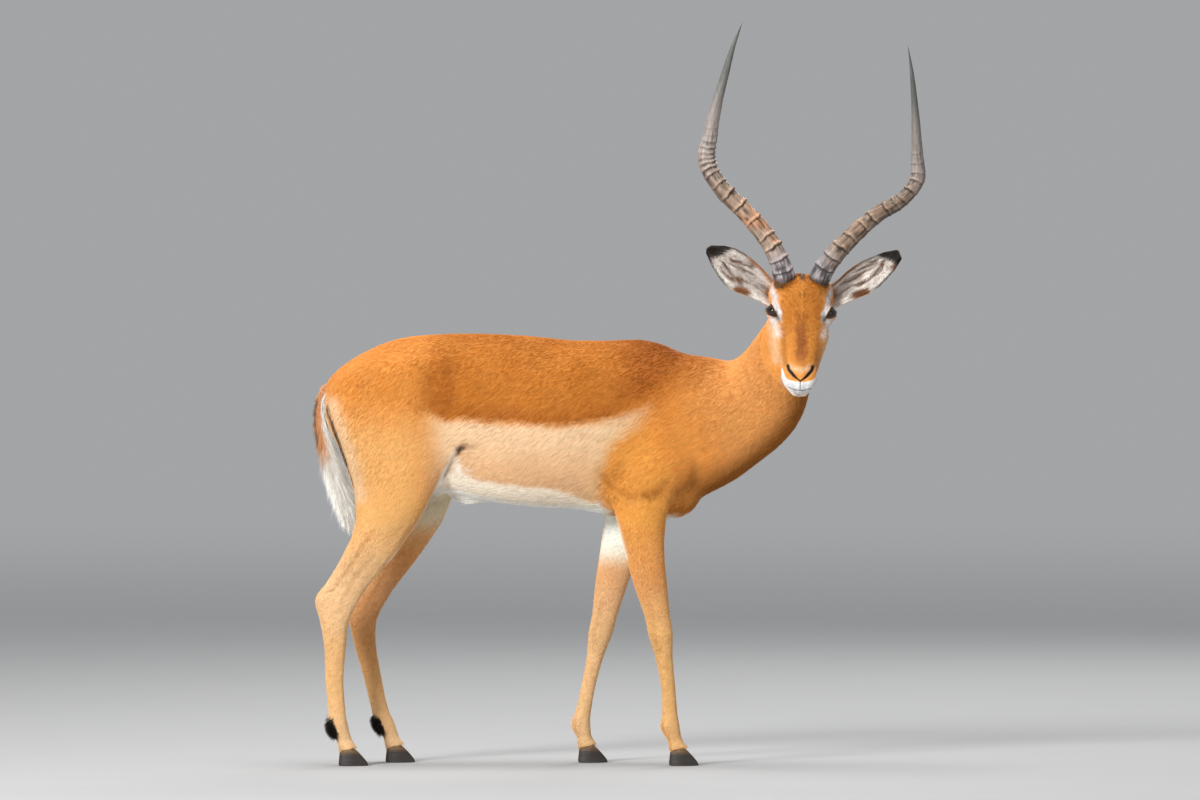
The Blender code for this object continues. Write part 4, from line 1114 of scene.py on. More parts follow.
def regions(points):
    """Which vertices of the skin lie on the head, neck, trunk and legs, as weights of 0 or 1."""
    body, head = to_frame(points, BODY), to_frame(points, HEAD)
    on_head = (head[:, 0] > -0.030) & (head[:, 2] > -0.150) & (np.abs(head[:, 1]) < 0.1)
    ahead = (body - (0.170, 0, 0.705)) @ np.array((0.99, 0, 0.13)) > 0
    leg = body[:, 2] < 0.50
    fore = body[:, 0] > -0.22
    left = body[:, 1] > 0
    return {
        "head": on_head,
        "neck": ahead & ~on_head & ~leg,
        "trunk_left": ~ahead & ~on_head & ~leg & left,
        "trunk_right": ~ahead & ~on_head & ~leg & ~left,
        "legs_fore": leg & fore & ~on_head,
        "legs_hind": leg & ~fore & ~on_head,
    }


# ---------------------------------------------------------------- operators


# How far the solids swell so that they merge, and how many triangles the skin keeps off the face.
SWELL = 0.0006
REST_TRIANGLES = 72000
# How often the skin is smoothed over the facets of the trunk, and then everywhere.
BODY_ROUNDS = 70
FACE_ROUNDS = 14
# How deep the folds of the body and the openings of the face are, and how high the nostrils' wings.
FOLD_DEPTH = 0.0042
NOSTRIL_DEPTH = 0.0052
PHILTRUM_DEPTH = 0.0014
MOUTH_DEPTH = 0.0020
WING_HEIGHT = 0.0011


class IMPALA_OT_skin(bpy.types.Operator):
    """One seamless skin over trunk, neck, head, legs and ears, with lids, nostrils, mouth and folds"""

    bl_idname = "impala.skin"
    bl_label = "Skin"

    def execute(self, context):
        sizes, paint = context.scene.impala_sizes, palette()
        bm = bmesh.new()
        for name in FLESH:
            part = bmesh.new()
            part.from_mesh(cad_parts[name].data)
            bmesh.ops.remove_doubles(part, verts=part.verts, dist=1e-5)
            part.normal_update()
            for vertex in part.verts:
                vertex.co += vertex.normal * SWELL
            swollen = bpy.data.meshes.new("swollen")
            part.to_mesh(swollen)
            part.free()
            bm.from_mesh(swollen)
        for side_sign in (-1, 1):
            place = HEAD @ Matrix.Translation(eye_centre(side_sign))
            bmesh.ops.create_icosphere(bm, subdivisions=4, radius=EYE_RADIUS + 0.001, matrix=place)
        mesh = bpy.data.meshes.new("flesh")
        bm.to_mesh(mesh)
        bm.free()
        skin = bpy.data.objects.new("skin", mesh)
        context.scene.collection.objects.link(skin)
        joined = skin.modifiers.new("joined", "REMESH")
        joined.mode = "VOXEL"
        joined.voxel_size = sizes.voxel
        settled(skin)
        points = points_of(skin.data)
        body, head = to_frame(points, BODY), to_frame(points, HEAD)
        behind_face = ramp(-head[:, 2], 0.108, 0.160)
        off_face = np.maximum(behind_face, fade(head[:, 0], -0.09, -0.03))
        soften(skin, BODY_ROUNDS, ramp(body[:, 2], 0.44, 0.60) * off_face)
        soften(skin, FACE_ROUNDS, 0.25 + 0.75 * np.maximum(1 - head_share(points_of(skin.data)), 0.25))
        self.thin(skin)
        self.refine(skin)
        self.shape(skin, sizes)
        add_tint(skin.data, coat_colours(points_of(skin.data), normals_of(skin.data)))
        leaves = [ear_mesh(side, paint) for side in EARS]
        parts = [bpy.data.objects.new(leaf.name, leaf) for leaf in leaves]
        for part in parts:
            context.scene.collection.objects.link(part)
        with context.temp_override(active_object=skin, selected_editable_objects=[skin, *parts]):
            bpy.ops.object.join()
        mesh = skin.data
        mesh.shade_smooth()
        bpy.data.objects.remove(skin)
        mesh.name = "skin"
        add_piece("skin", mesh, skin_finish(), "rufous_coat", *FLESH, "ear_left", "ear_right")
        return {"FINISHED"}

    def thin(self, skin):
        """Leaves the face's mesh fine and thins the rest."""
        points = points_of(skin.data)
        face = head_share(points) > 0.2
        skin.vertex_groups.clear()
        rest = skin.vertex_groups.new(name="rest")
        rest.add(np.flatnonzero(~face).tolist(), 1.0, "REPLACE")
        triangles = sum(len(polygon.vertices) - 2 for polygon in skin.data.polygons)
        head_triangles = int(2 * face.sum())
        thinned = skin.modifiers.new("thinned", "DECIMATE")
        thinned.ratio = (head_triangles + REST_TRIANGLES) / triangles
        thinned.vertex_group = "rest"
        thinned.vertex_group_factor = 1.0
        settled(skin)
        skin.vertex_groups.clear()

    def refine(self, skin):
        """Gives the lids and the muzzle a finer mesh."""
        bm = bmesh.new()
        bm.from_mesh(skin.data)
        to_head = HEAD.inverted()
        for cuts, chosen in ((2, self.by_eye), (1, self.by_nose)):
            inside = {vertex for vertex in bm.verts if chosen(to_head @ vertex.co)}
            edges = [edge for edge in bm.edges if edge.verts[0] in inside and edge.verts[1] in inside]
            bmesh.ops.subdivide_edges(bm, edges=edges, cuts=cuts, use_grid_fill=True)
        bm.to_mesh(skin.data)
        bm.free()

    def by_eye(self, at):
        side_sign = math.copysign(1, at.y)
        away, out = at - Vector(eye_centre(side_sign)), Vector(eye_axes(side_sign)[0])
        return away.length < EYE_RADIUS + 0.009 and away.dot(out) > -0.002

    def by_nose(self, at):
        return at.x > 0.212 and abs(at.y) < 0.06 and at.z > -0.10

    def shape(self, skin, sizes):
        """Sinks the skin by the coat's depth, then opens the eyes and carves folds, nostrils and mouth."""
        points, normals = points_of(skin.data), normals_of(skin.data)
        depth = sizes.coat_depth * (1 - 0.65 * head_share(points))
        body = to_frame(points, BODY)
        depth = depth * (1 - 0.45 * fade(body[:, 2], 0.40, 0.55))
        points = points - normals * depth[:, None]
        points -= normals * (FOLD_DEPTH * body_folds(body))[:, None]
        head, upright = to_frame(points, HEAD), to_frame(points, UPRIGHT)
        steps = np.linspace(-0.244, -0.100, 64)
        on_head = head_share(points) * ramp(head[:, 0], 0.075, 0.105)
        out, up, front = np.abs(upright[:, 0]), upright[:, 2], (on_head > 0.9) & (upright[:, 1] < -0.030)
        wide = np.array([np.max(out[front & (np.abs(up - step) < 0.0022)], initial=0.001) for step in steps])
        wanted = read_off(steps, FACE_WIDTHS)
        share = np.clip(wanted / wide, 0.4, 1.04)
        share = np.convolve(np.pad(share, 2, mode="edge"), np.ones(5) / 5, mode="valid")
        narrow = (np.interp(up, steps, share) - 1) * fade(up, -0.130, -0.094)
        upright[:, 0] *= 1 + narrow * on_head
        points = from_frame(upright, UPRIGHT)
        head, out = to_frame(points, HEAD), np.abs(upright[:, 0])
        nostril, philtrum, mouth = face_grooves(head, upright)
        off_slit = distance_to_line(columns(out, upright[:, 2]), ((0.0262, -0.1815), (0.0160, -0.1980)))
        wing = bell(off_slit - 0.0062, 0.0028) * ramp(head[:, 0], 0.222, 0.236)
        deep = NOSTRIL_DEPTH * nostril * ramp(out, 0.002, 0.012) + 0.0012 * nostril
        deep = deep + PHILTRUM_DEPTH * philtrum + MOUTH_DEPTH * mouth - WING_HEIGHT * wing
        points -= normals * deep[:, None]
        points = from_frame(carve_eyes(to_frame(points, HEAD)), HEAD)
        move_to(skin.data, points)


class IMPALA_OT_coat(bpy.types.Operator):
    """The short coat: fine tufts that lie along the skin, longer where they break the outline"""

    bl_idname = "impala.coat"
    bl_label = "Coat"

    def execute(self, context):
        sizes = context.scene.impala_sizes
        skin = bpy.data.objects["skin"].data
        finish = tuft_finish("coat_tufts")
        points = points_of(skin)
        masks = regions(points)
        ears = self.on_ears(points)

        def trunk(roots, normals):
            body = to_frame(roots, BODY)
            ones = np.ones(len(roots))
            ridge = ramp(np.abs(normals[:, 2]), 0.80, 0.98)
            belly = ramp(-normals[:, 2], 0.2, 0.8) * fade(body[:, 2], 0.56, 0.62)
            low = 0.55 + 0.45 * np.maximum(ramp(body[:, 2], 0.50, 0.62), belly)
            length = sizes.hair_length * low * (1 + 0.15 * ridge + 0.5 * belly)
            return length, sizes.hair_width * ones, (0.0006 + 0.0006 * ridge + 0.0010 * belly) * low

        def neck(roots, normals):
            under = ramp(-normals[:, 2], 0.2, 0.8)
            length = sizes.hair_length * (0.85 + 0.4 * under)
            return length, sizes.hair_width * np.ones(len(roots)), 0.0008 + 0.0010 * under

        def legs(roots, normals):
            body = to_frame(roots, BODY)
            high = ramp(body[:, 2], 0.10, 0.46)
            length = 0.0055 + 0.0020 * high
            ankle = ramp(-normals[:, 0], 0.4, 0.9) * fade(body[:, 2], 0.09, 0.12)
            return length + 0.005 * ankle, 0.0008 + 0.0003 * high, 0.0003 + 0.0002 * high + 0.001 * ankle

        def face(roots, normals):
            head = to_frame(roots, HEAD)
            back = fade(head[:, 0], 0.06, 0.20)
            lips = ramp(head[:, 0], 0.225, 0.245)
            length = 0.0034 + 0.0034 * back - 0.0010 * lips
            upright = to_frame(roots, UPRIGHT)
            by_horn = fade(horn_gap(upright), 0.006, 0.014) * fade(upright[:, 1], -0.030, 0.0)
            width = 0.00055 + 0.00035 * back + 0.0004 * by_horn
            return length + 0.013 * by_horn, width, 0.00035 + 0.0005 * back + 0.0085 * by_horn

        for side in SIGNS:
            grow(f"coat_trunk_{side}", skin, finish, masks[f"trunk_{side}"] * 1.0, sizes.trunk_tufts,
                 seed=1 + (side == "left"), size=trunk, places=lambda at: unrolled(at, (1, 0, 0)))
        grow("coat_neck", skin, finish, masks["neck"] & ~ears, COAT_TUFTS["neck"], seed=3, size=neck,
             places=lambda at: unrolled(at, (0.75, -0.2, 0.63)))
        for pair in ("fore", "hind"):
            grow(f"coat_legs_{pair}", skin, finish, masks[f"legs_{pair}"] * 1.0, COAT_TUFTS[f"legs_{pair}"],
                 seed=5 + (pair == "fore"), size=legs, places=unrolled_legs)
        head, upright = to_frame(points, HEAD), to_frame(points, UPRIGHT)
        rim = eye_rim_distance(head)
        nostril, philtrum, mouth = face_grooves(head, upright)
        bare = (rim > 0.0016) * (nostril < 0.25) * (philtrum < 0.4) * (mouth < 0.5) * ~ears
        density = masks["head"] * bare * (1 + 1.2 * ramp(head[:, 0], 0.05, 0.22))
        grow("coat_head", skin, finish, density, COAT_TUFTS["head"], seed=8, size=face,
             places=lambda at: unrolled(at, tuple(HEAD.to_3x3() @ Vector((1, 0, 0)))))
        return {"FINISHED"}

    def on_ears(self, points):
        """Which vertices of the skin are the ears', outside the head's width."""
        upright = to_frame(points, UPRIGHT)
        return (np.abs(upright[:, 0]) > 0.074) & (upright[:, 2] > -0.080)


class IMPALA_OT_ears(bpy.types.Operator):
    """The hair of the ears: pale rows inside, short and red-brown outside, black at the tip"""

    bl_idname = "impala.ears"
    bl_label = "Ear hair"

    def execute(self, context):
        paint = palette()
        finish = tuft_finish("ear_tufts")
        for side in EARS:
            chance = np.random.default_rng(40 + (side == "left"))
            count = long_tufts("ear")
            share, across = 0.02 + 0.97 * chance.random(count), 2 * chance.random(count) - 1
            edge = chance.random(count) < 0.22
            across = np.where(edge, np.sign(across) * (1 - 0.06 * chance.random(count)), across)
            inside = chance.random(count) < 0.6
            step = 1e-3
            roots = ear_points(side, share, across)
            along = unit(ear_points(side, share + step, across) - roots)
            over = ear_points(side, share, np.clip(across + step, -1.2, 1.2)) - roots
            normals = unit(np.cross(along, over))
            normals *= np.sign(normals @ ear_forward(side))[:, None]
            normals = np.where(inside[:, None], normals, -normals)
            wall = 0.0030 * (1 - 0.55 * share) * (1 - across**6)
            roots = roots + np.where(inside, 0.0004, wall)[:, None] * normals
            sweep = unit(over) * (-0.35 * np.sign(across))[:, None]
            flows = unit(along + np.where(inside[:, None], sweep, 0) + 0.16 * chance.normal(0, 1, (count, 3)))
            flows = laid_along(flows, normals)
            lengths = np.where(inside, 0.011, 0.006) * (0.7 + 0.6 * chance.random(count)) * (1 - 0.45 * share)
            lifts = np.where(inside, 0.0022, 0.0007) * chance.random(count)
            colours = ear_colours(side, share, across, inside, paint)
            colours = colours * (0.85 + 0.35 * chance.random(count))[:, None]
            places = columns(0.01 + 0.48 * (across + 1) / 2 + 0.5 * inside, 0.01 + 0.98 * share)
            add_tufts(f"hair_ear_{side}", finish, "ear_coat", roots, normals, flows, lengths,
                      np.where(inside, 0.0008, 0.0009), lifts, colours, places)
        return {"FINISHED"}


class IMPALA_OT_eyes(bpy.types.Operator):
    """Dark glossy eyes with a level pupil, and the upper lids' lashes"""

    bl_idname = "impala.eyes"
    bl_label = "Eyes"

    def execute(self, context):
        paint = palette()
        wet = eye_finish()
        lash_finish = tuft_finish("lash", 0.4)
        for side, side_sign in SIGNS.items():
            out, along, upper = eye_axes(side_sign)
            centre = eye_centre(side_sign)

            def ball(u, v):
                """A ball with its clear front standing a little proud."""
                turn, fall = math.tau * u, math.pi * v
                reach = EYE_RADIUS - 0.0004 + 0.0009 * fade(fall, 0.30, 0.66)
                around = np.cos(turn)[:, None] * along + np.sin(turn)[:, None] * upper
                place = np.cos(fall)[:, None] * out + np.sin(fall)[:, None] * around
                return from_frame(centre + reach[:, None] * place, HEAD)

            mesh = surface(f"eyeball_{side}", ball, 48, 32)
            away = to_frame(points_of(mesh), HEAD) - centre
            ahead = unit(away)
            fall = np.degrees(np.arccos(np.clip(ahead @ out, -1, 1)))
            level = unit(np.cross(out, np.array(HEAD.to_3x3().inverted() @ Vector((0, 0, 1)))))
            wide, tall = ahead @ level, ahead @ np.cross(out, level)
            tints = Tints(paint.iris, len(away))
            tints.lay(paint.dark * 0.5, ramp(fall, 34, 40))
            pupil = fade(np.hypot(wide / 0.42, tall / 0.20), 0.85, 1.05)
            tints.lay((0.002, 0.002, 0.003), pupil)
            add_tint(mesh, tints.colours)
            add_piece(f"eyeball_{side}", mesh, wet, "eye", f"eye_{side}")
            self.add_lashes(side, side_sign, lash_finish, paint)
        return {"FINISHED"}

    def add_lashes(self, side, side_sign, finish, paint):
        out, along, upper = eye_axes(side_sign)
        centre = eye_centre(side_sign)
        chance = np.random.default_rng(60 + side_sign)
        count = 54
        alpha = math.radians(45) * (2 * chance.random(count) - 1)
        beta = math.radians(27) * (1 - np.abs(alpha / math.radians(47)) ** 1.7) ** (1 / 1.7) + 0.04
        ray = unit(
            (np.cos(beta) * np.cos(alpha))[:, None] * out + (np.cos(beta) * np.sin(alpha))[:, None] * along
            + np.sin(beta)[:, None] * upper
        )
        roots = centre + ray * (EYE_RADIUS + 0.0018)
        flows = unit(ray * 0.9 + upper * 0.35 + 0.5 * np.sin(alpha)[:, None] * along
                     + 0.12 * chance.normal(0, 1, (count, 3)))
        normals = laid_along(upper, flows)
        turned = np.array(HEAD.to_3x3()).T
        lengths = 0.0052 * (0.6 + 0.6 * chance.random(count))
        places = columns(0.05 + 0.9 * (alpha + 1.1) / 2.2, 0.2 + 0 * alpha)
        add_tufts(f"lashes_{side}", finish, "tail_hair", from_frame(roots, HEAD), normals @ turned,
                  flows @ turned, lengths, np.full(count, 0.0006), 0.0015 * chance.random(count),
                  Tints(paint.dark, count).colours, places, 1.0)


def round_horn(turn, at):
    """Places on a horn's sheath for noise: round it, and drawn out along it."""
    return columns(np.cos(turn), np.sin(turn), at * 22)


class IMPALA_OT_horns(bpy.types.Operator):
    """Lyre-shaped horns, ringed over their lower part and smooth above"""

    bl_idname = "impala.horns"
    bl_label = "Horns"

    def execute(self, context):
        paint = palette()
        finish = horn_finish()
        for side in HORNS:
            side_sign = SIGNS[side]
            rows = smooth_rows(HORNS[side], 16)
            line = from_frame(rows[:, :3] * (side_sign, 1, 1), UPRIGHT)
            reach = reach_along(line)
            ups = rows[:, 2]
            rings = np.interp(HORN_RINGS[side], ups, reach)
            along = unit(np.gradient(line, axis=0))
            beside = np.array((1.0, 0, 0))
            sides = []
            for direction in along:
                beside = unit(beside - direction * (beside @ direction))
                sides.append(beside)
            sides = np.array(sides)
            aheads = np.cross(along, sides)
            length = reach[-1]
            knobs = HORN_KNOBS[side]

            def relief(turn, at):
                """How far the sheath stands out: rings strongest in front, fibres between them."""
                front = 0.28 + 0.72 * ramp(np.cos(turn - knobs), -0.5, 0.9)
                bend = 0.0020 * np.sin(turn + 0.7) + 0.0011 * np.sin(3 * turn + at * 40)
                bend = bend + 0.0005 * np.sin(7 * turn + at * 90)
                ridges = np.zeros(len(at))
                for k, ring in enumerate(rings):
                    share = ring / length
                    high = RING_HEIGHT * (0.65 + 0.6 * math.sin(k * 2.3) ** 2) * fade(share, 0.48, 0.70)
                    away = at - ring - bend
                    slope = bell(away, np.where(away > 0, 0.0042, 0.0013))
                    ridges += high * (slope - 0.45 * bell(away + 0.0034, 0.0016))
                grid = round_horn(turn, at)
                fibres = 0.0008 * noise(grid, (0.16, 0.16, 0.7), 50)
                fibres += 0.0012 * noise(grid, (0.5, 0.5, 0.35), 51)
                cracks = ramp(noise(grid, (0.22, 0.22, 0.5), 53), 0.25, 0.8)
                fibres -= 0.0012 * cracks * fade(at / length, 0.12, 0.26)
                smooth = fade(at / length, 0.55, 0.75)
                return ridges * front + fibres * (0.25 + 0.75 * smooth)

            def sheath(u, v):
                turn = math.tau * u
                at = np.interp(v, (0, 0.004, 1), (0, 0, length))
                place = row_at(at, reach, line)
                rooted = 0.40 + 0.60 * ramp(np.interp(at, reach, ups), -0.022, 0.002)
                radius = np.interp(at, reach, rows[:, 3]) * rooted
                radius = (radius - 0.0012 + relief(turn, at)) * ramp(v, 0.0, 0.004) * fade(v, 0.997, 1.0)
                across, ahead = row_at(at, reach, sides), row_at(at, reach, aheads)
                rim = np.cos(turn)[:, None] * across + np.sin(turn)[:, None] * ahead
                return place + np.maximum(radius, 0)[:, None] * rim

            mesh = surface(f"sheath_{side}", sheath, 64, 420)
            points, normals = points_of(mesh), normals_of(mesh)
            nearest = np.zeros(len(points), int)
            best = np.full(len(points), 1e9)
            for k, point in enumerate(line):
                away = np.linalg.norm(points - point, axis=1)
                nearest = np.where(away < best, k, nearest)
                best = np.minimum(best, away)
            at = reach[nearest] + np.sum((points - line[nearest]) * along[nearest], axis=1)
            share = at / length
            away = points - row_at(at, reach, line)
            turn = np.arctan2(np.sum(away * aheads[nearest], axis=1), np.sum(away * sides[nearest], axis=1))
            stands = relief(turn, at)
            tints = Tints(paint.horn, len(points))
            patches = noise(points, (0.05, 0.05, 0.03), 52)
            grid = round_horn(turn, at)
            fibres = noise(grid, (0.14, 0.14, 0.8), 54) + 0.7 * noise(grid, (0.3, 0.3, 0.25), 55)
            warm, dark = paint.horn * (1.5, 0.95, 0.6), paint.dark
            tints.lay(warm, 0.7 * ramp(patches, -0.1, 0.6) * fade(share, 0.25, 0.45))
            bend_shade = ramp(share, 0.33, 0.40) * fade(share, 0.46, 0.56) * 0.6
            tints.lay(paint.horn * 0.55, bend_shade)
            tints.lay(paint.horn_base, fade(share + 0.02 * patches, 0.10, 0.19))
            tints.lay(paint.horn_tip, ramp(share + 0.03 * patches, 0.44, 0.60))
            tints.lay(paint.horn_tip * (0.42, 0.50, 0.50), ramp(share, 0.64, 0.84))
            tints.lay(dark * 1.6, 0.6 * ramp(share, 0.92, 1.0))
            rough = fade(share, 0.45, 0.70)
            tints.shade(1 + (0.10 + 0.22 * rough) * fibres)
            # Painted light and shade: lighter where the relief stands out, darker where it sinks.
            tints.shade(1 + 0.50 * np.clip(stands / 0.0022, -1.0, 1.0) * rough)
            low = fade(share, 0.10, 0.22)
            # Dark cracks on the low part are the horn's own; the dark in the grooves between the rings is
            # painted shade.
            cracks_and_groove_shade = low * ramp(noise(grid, (0.17, 0.17, 0.5), 56), 0.1, 0.55)
            cracks_and_groove_shade = np.clip(ramp(-stands, 0.0002, 0.0011) + cracks_and_groove_shade, 0, 1)
            tints.lay(dark * 1.5, 0.78 * cracks_and_groove_shade * rough)
            # Painted shade on the horn's underside, where it faces down.
            under = ramp(-normals[:, 2], 0.0, 0.7) * fade(share, 0.45, 0.7)
            tints.lay(dark * 3.0, HORN_SHADE[side] * under)
            # The left horn painted darker overall: painted shade.
            add_tint(mesh, tints.colours * HORN_LIGHT[side])
            add_piece(f"sheath_{side}", mesh, finish, "horn", f"horn_{side}")
        return {"FINISHED"}


class IMPALA_OT_hooves(bpy.types.Operator):
    """Eight narrow, pointed black claws, two to a foot"""

    bl_idname = "impala.hooves"
    bl_label = "Hooves"

    def execute(self, context):
        paint = palette()
        finish = hoof_finish()
        for foot, line in LEG_LINES.items():
            pair, side = foot.split("_")
            side_sign = SIGNS[side]
            centre_x, centre_y = line[1] + FOOT_AHEAD, side_sign * LEG_OUT[pair]
            for claw, inner_sign in (("inner", side_sign), ("outer", -side_sign)):

                def wall(u, v):
                    turn = math.tau * u
                    rise = np.interp(v, (0, 0.16, 0.22, 0.88, 1), (0, 0, 0.05, 1, 1))
                    swell = np.interp(v, (0, 0.16, 0.22, 0.30, 0.88, 1), (0, 0.97, 1.0, 1.01, 0.80, 0))
                    c, s = np.cos(turn), np.sin(turn)
                    long = np.where(c > 0, 0.60, 0.40) * HOOF_LENGTH * swell
                    lean = np.where(c > 0, HOOF_WALL_SLOPE, 0.1) * HOOF_TOP * rise * np.abs(c)
                    lean *= np.minimum(swell / 0.8, 1)
                    x = centre_x + long * c - lean
                    half = HOOF_WIDTH / 2 * (1 - 0.1 * rise) * np.minimum(swell / 0.8, 1)
                    taper = 1 - 0.62 * np.maximum(c, 0) ** 2.5
                    flat = np.clip(1.5 * s, -1, 1) * (1 - 0.25 * np.maximum(c, 0) ** 3)
                    across = half * np.where(s * inner_sign < 0, s * taper, flat)
                    y = centre_y - inner_sign * (HOOF_CLEFT / 2 + HOOF_WIDTH / 2) + across
                    top = HOOF_TOP + HOOF_TOP_SLOPE * (x - centre_x) - 0.0003
                    return from_frame(columns(x, y, top * rise), BODY)

                mesh = surface(f"claw_{foot}_{claw}", wall, 40, 30)
                points = to_frame(points_of(mesh), BODY)
                tints = Tints(paint.hoof, len(points))
                tints.lay(paint.leg * 0.35, 0.55 * ramp(points[:, 2], 0.020, 0.032))
                add_tint(mesh, tints.colours)
                add_piece(f"claw_{foot}_{claw}", mesh, finish, "hoof", f"hoof_{foot}_{claw}")
        return {"FINISHED"}


class IMPALA_OT_tail(bpy.types.Operator):
    """The tail, orange and dark above and long white hair below, and the black tufts of the hind heels"""

    bl_idname = "impala.tail"
    bl_label = "Tail and heel tufts"

    def execute(self, context):
        paint = palette()
        finish = tuft_finish("long_hair", 0.5)
        rows = smooth_rows(TAIL_LINE, 8)
        line = from_frame(rows[:, :3], BODY)
        reach = reach_along(line)
        along = unit(np.gradient(line, axis=0))
        across = np.array((0, 1.0, 0))
        behind = np.cross(along, across)

        def dock(u, v):
            turn = math.tau * u
            at = v * reach[-1]
            cap = np.sqrt(np.clip(1 - (2 * v - 1) ** 8, 0, 1)) * 0.62
            wide, deep = np.interp(at, reach, rows[:, 3]) * cap, np.interp(at, reach, rows[:, 4]) * cap
            place = row_at(at, reach, line) + (wide * np.cos(turn))[:, None] * across
            return place + (deep * np.sin(turn))[:, None] * row_at(at, reach, behind)

        mesh = surface("dock", dock, 32, 60)
        add_tint(mesh, self.colours(points_of(mesh), normals_of(mesh), paint))
        add_piece("dock", mesh, skin_finish(), "tail_hair", "tail")
        count = long_tufts("tail")
        weights = np.ones(len(mesh.vertices))
        roots, normals, chance = scattered(mesh, weights, count, 70)
        nearest = np.argmin(np.linalg.norm(roots[:, None, :] - line[None, ::4], axis=2), axis=1) * 4
        nearest = np.minimum(nearest, len(line) - 1)
        share = reach[nearest] / reach[-1]
        flows = along[nearest] + 0.10 * chance.normal(0, 1, (count, 3))
        flows = unit(flows + normals * (0.10 + 0.10 * share[:, None]))
        lengths = (0.016 + 0.034 * ramp(share, 0.1, 0.5) - 0.020 * ramp(share, 0.80, 1.0))
        lengths = lengths * (0.6 + 0.6 * chance.random(count))
        stand = laid_along(normals, flows)
        colours = self.colours(roots, normals, paint) * (0.88 + 0.25 * chance.random(count))[:, None]
        places = unrolled(roots, (0, 0, 1))
        add_tufts("hair_tail", finish, "tail_hair", roots, stand, flows, lengths, np.full(count, 0.0014),
                  0.002 * chance.random(count), colours, places, 1.1)
        self.add_heels(paint, finish)
        return {"FINISHED"}

    def colours(self, points, normals, paint):
        """Orange with a dark line down the back of the tail, white beneath and at the end."""
        body = to_frame(points, BODY)
        z = body[:, 2]
        back = ramp(-normals[:, 0], 0.60, 0.90)
        tints = Tints(paint.belly * 1.06, len(points))
        upper = ramp(z + 0.008 * noise(body, 0.01, 71), 0.645, 0.690)
        tints.lay(paint.rump, 0.85 * upper * ramp(-normals[:, 0], -0.5, 0.1))
        dark = back * ramp(z, 0.62, 0.68) * fade(z, 0.77, 0.80)
        dark = dark * ramp(noise(body, (9, 9, 0.012), 72), -0.9, 0.4)
        tints.lay(paint.dark, 0.8 * dark)
        return tints.colours

    def add_heels(self, paint, finish):
        """A black brush of hair behind each hind fetlock."""
        skin = bpy.data.objects["skin"].data
        body = to_frame(points_of(skin), BODY)
        behind = leg_offset(body, "hind")
        near = bell(body[:, 2] - 0.079, 0.011) * ramp(-behind, 0.004, 0.012)
        weights = near * (near > 0.05) * (body[:, 0] < -0.25)
        count = long_tufts("heels")
        roots, normals, chance = scattered(skin, weights, count, 80)
        flows = unit(np.array((-0.35, 0, -0.94)) + normals * 0.35 + 0.12 * chance.normal(0, 1, (count, 3)))
        stand = laid_along(normals, flows)
        places = unrolled_legs(roots, 6)
        tints = Tints(paint.dark, count)
        tints.shade(0.7 + 0.8 * chance.random(count))
        lengths = 0.0125 * (0.6 + 0.6 * chance.random(count))
        add_tufts("hair_heels", finish, "tail_hair", roots, stand, flows, lengths, np.full(count, 0.0010),
                  0.004 * chance.random(count), tints.colours, places, 1.0)


FLOOR_RADIUS = 16
FLOOR_DROP = 0.0006
FLOOR_FADE = (2.5, 14.0)
# Each light's place, the height that it aims at, its size and its power.
LIGHTS = {
    "key": ((-4.4, -6.4, 4.0), 0.75, 2.2, 700),
    "fill": ((4.6, -5.0, 2.2), 0.8, 3.5, 36),
    "top": ((-0.3, 0.4, 5.2), 0.8, 3.0, 150),
    "rim": ((1.5, 5.2, 3.6), 0.9, 2.4, 90),
}
SKY_COLOUR = (0.80, 0.81, 0.83, 1)
SKY_STRENGTH = 0.46
CAMERA_RISE = math.radians(2.0)
CAMERA_AIM = Vector((-0.0387, 0.0, 0.7608))
CAMERA_DISTANCE = 70
CAMERA_LENS = 1004.8


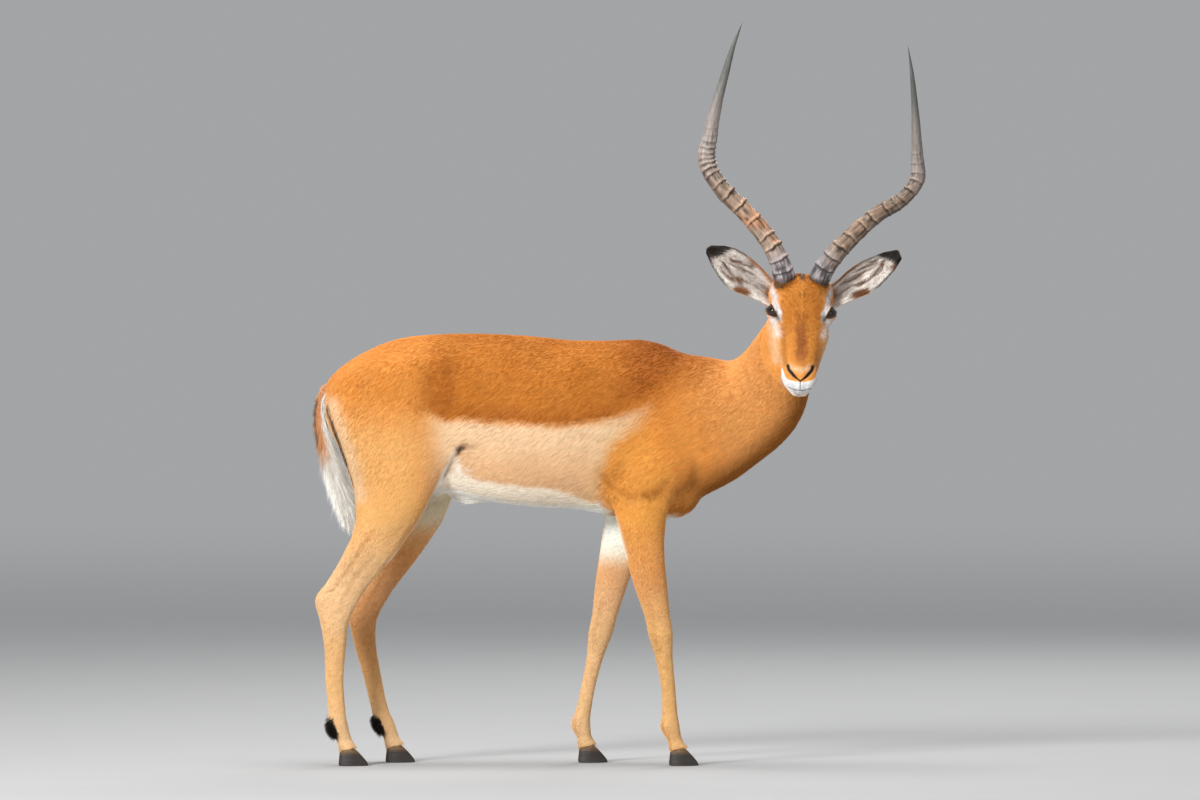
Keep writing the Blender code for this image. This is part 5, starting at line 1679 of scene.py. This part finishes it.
class IMPALA_OT_stage(bpy.types.Operator):
    """A plain pale floor that fades out, soft studio light and a long-lens camera"""

    bl_idname = "impala.stage"
    bl_label = "Stage"

    def execute(self, context):
        scene = context.scene

        def disc(u, v):
            """A round floor, all level."""
            turn = math.tau * u
            reach = FLOOR_RADIUS * v
            return columns(reach * np.cos(turn), reach * np.sin(turn), 0 * v - FLOOR_DROP)

        mesh = surface("floor", disc, 64, 24)
        if mesh.polygons[0].normal.z < 0:
            mesh.flip_normals()
        finish = Finish("studio_floor", Roughness=0.85, Specular_IOR_Level=0.1)
        add_tint(mesh, Tints(palette().floor, len(mesh.vertices)).colours)
        finish.tinted(0.97 + 0.06 * finish.grain(3.0))
        finish.bumped(finish.grain(160), 0.0004)
        finish.fade_out(*FLOOR_FADE)
        floor = bpy.data.objects.new("floor", mesh)
        mesh.materials.append(finish.material)
        scene.collection.objects.link(floor)

        for name, (place, aim_height, size, power) in LIGHTS.items():
            self.add_light(name, place, (0, 0, aim_height), size, power)
        world = bpy.data.worlds.new("studio")
        scene.world = world
        world.use_nodes = True
        sky = world.node_tree.nodes["Background"].inputs
        sky["Color"].default_value = SKY_COLOUR
        sky["Strength"].default_value = SKY_STRENGTH
        scene.view_settings.view_transform = "Standard"

        data = bpy.data.cameras.new("camera")
        camera = bpy.data.objects.new("camera", data)
        scene.collection.objects.link(camera)
        back = Vector((0, -math.cos(CAMERA_RISE), math.sin(CAMERA_RISE)))
        camera.location = BODY @ CAMERA_AIM + back * CAMERA_DISTANCE
        camera.rotation_euler = (-back).to_track_quat("-Z", "Y").to_euler()
        data.lens = CAMERA_LENS
        data.clip_end = 200
        scene.camera = camera
        return {"FINISHED"}

    def add_light(self, name, place, aim, size, power):
        data = bpy.data.lights.new(name, "AREA")
        data.shape = "DISK"
        data.size = size
        data.energy = power
        light = bpy.data.objects.new(name, data)
        bpy.context.scene.collection.objects.link(light)
        light.location = place
        light.rotation_euler = (Vector(aim) - Vector(place)).to_track_quat("-Z", "Y").to_euler()


OPERATORS = (
    IMPALA_OT_skin, IMPALA_OT_coat, IMPALA_OT_ears, IMPALA_OT_eyes, IMPALA_OT_horns, IMPALA_OT_hooves,
    IMPALA_OT_tail, IMPALA_OT_stage,
)


class IMPALA_PT_panel(bpy.types.Panel):
    """Lists the pieces of the ram in the order in which they are built"""

    bl_idname = "IMPALA_PT_panel"
    bl_label = "Impala ram"
    bl_space_type = "VIEW_3D"
    bl_region_type = "UI"
    bl_category = "Impala"

    def draw(self, context):
        for operator in OPERATORS:
            self.layout.operator(operator.bl_idname)
        for settings in (context.scene.impala_sizes, context.scene.impala_colours):
            for name in settings.__annotations__:
                self.layout.prop(settings, name)


CLASSES = (CoatColours, CoatSizes, *OPERATORS, IMPALA_PT_panel)


def register():
    for cls in CLASSES:
        bpy.utils.register_class(cls)
    bpy.types.Scene.impala_colours = PointerProperty(type=CoatColours)
    bpy.types.Scene.impala_sizes = PointerProperty(type=CoatSizes)


def unregister():
    del bpy.types.Scene.impala_sizes
    del bpy.types.Scene.impala_colours
    for cls in reversed(CLASSES):
        bpy.utils.unregister_class(cls)


def main():
    register()
    for operator in OPERATORS:
        group, name = operator.bl_idname.split(".")
        getattr(getattr(bpy.ops, group), name)()


if __name__ == "__main__":
    main()
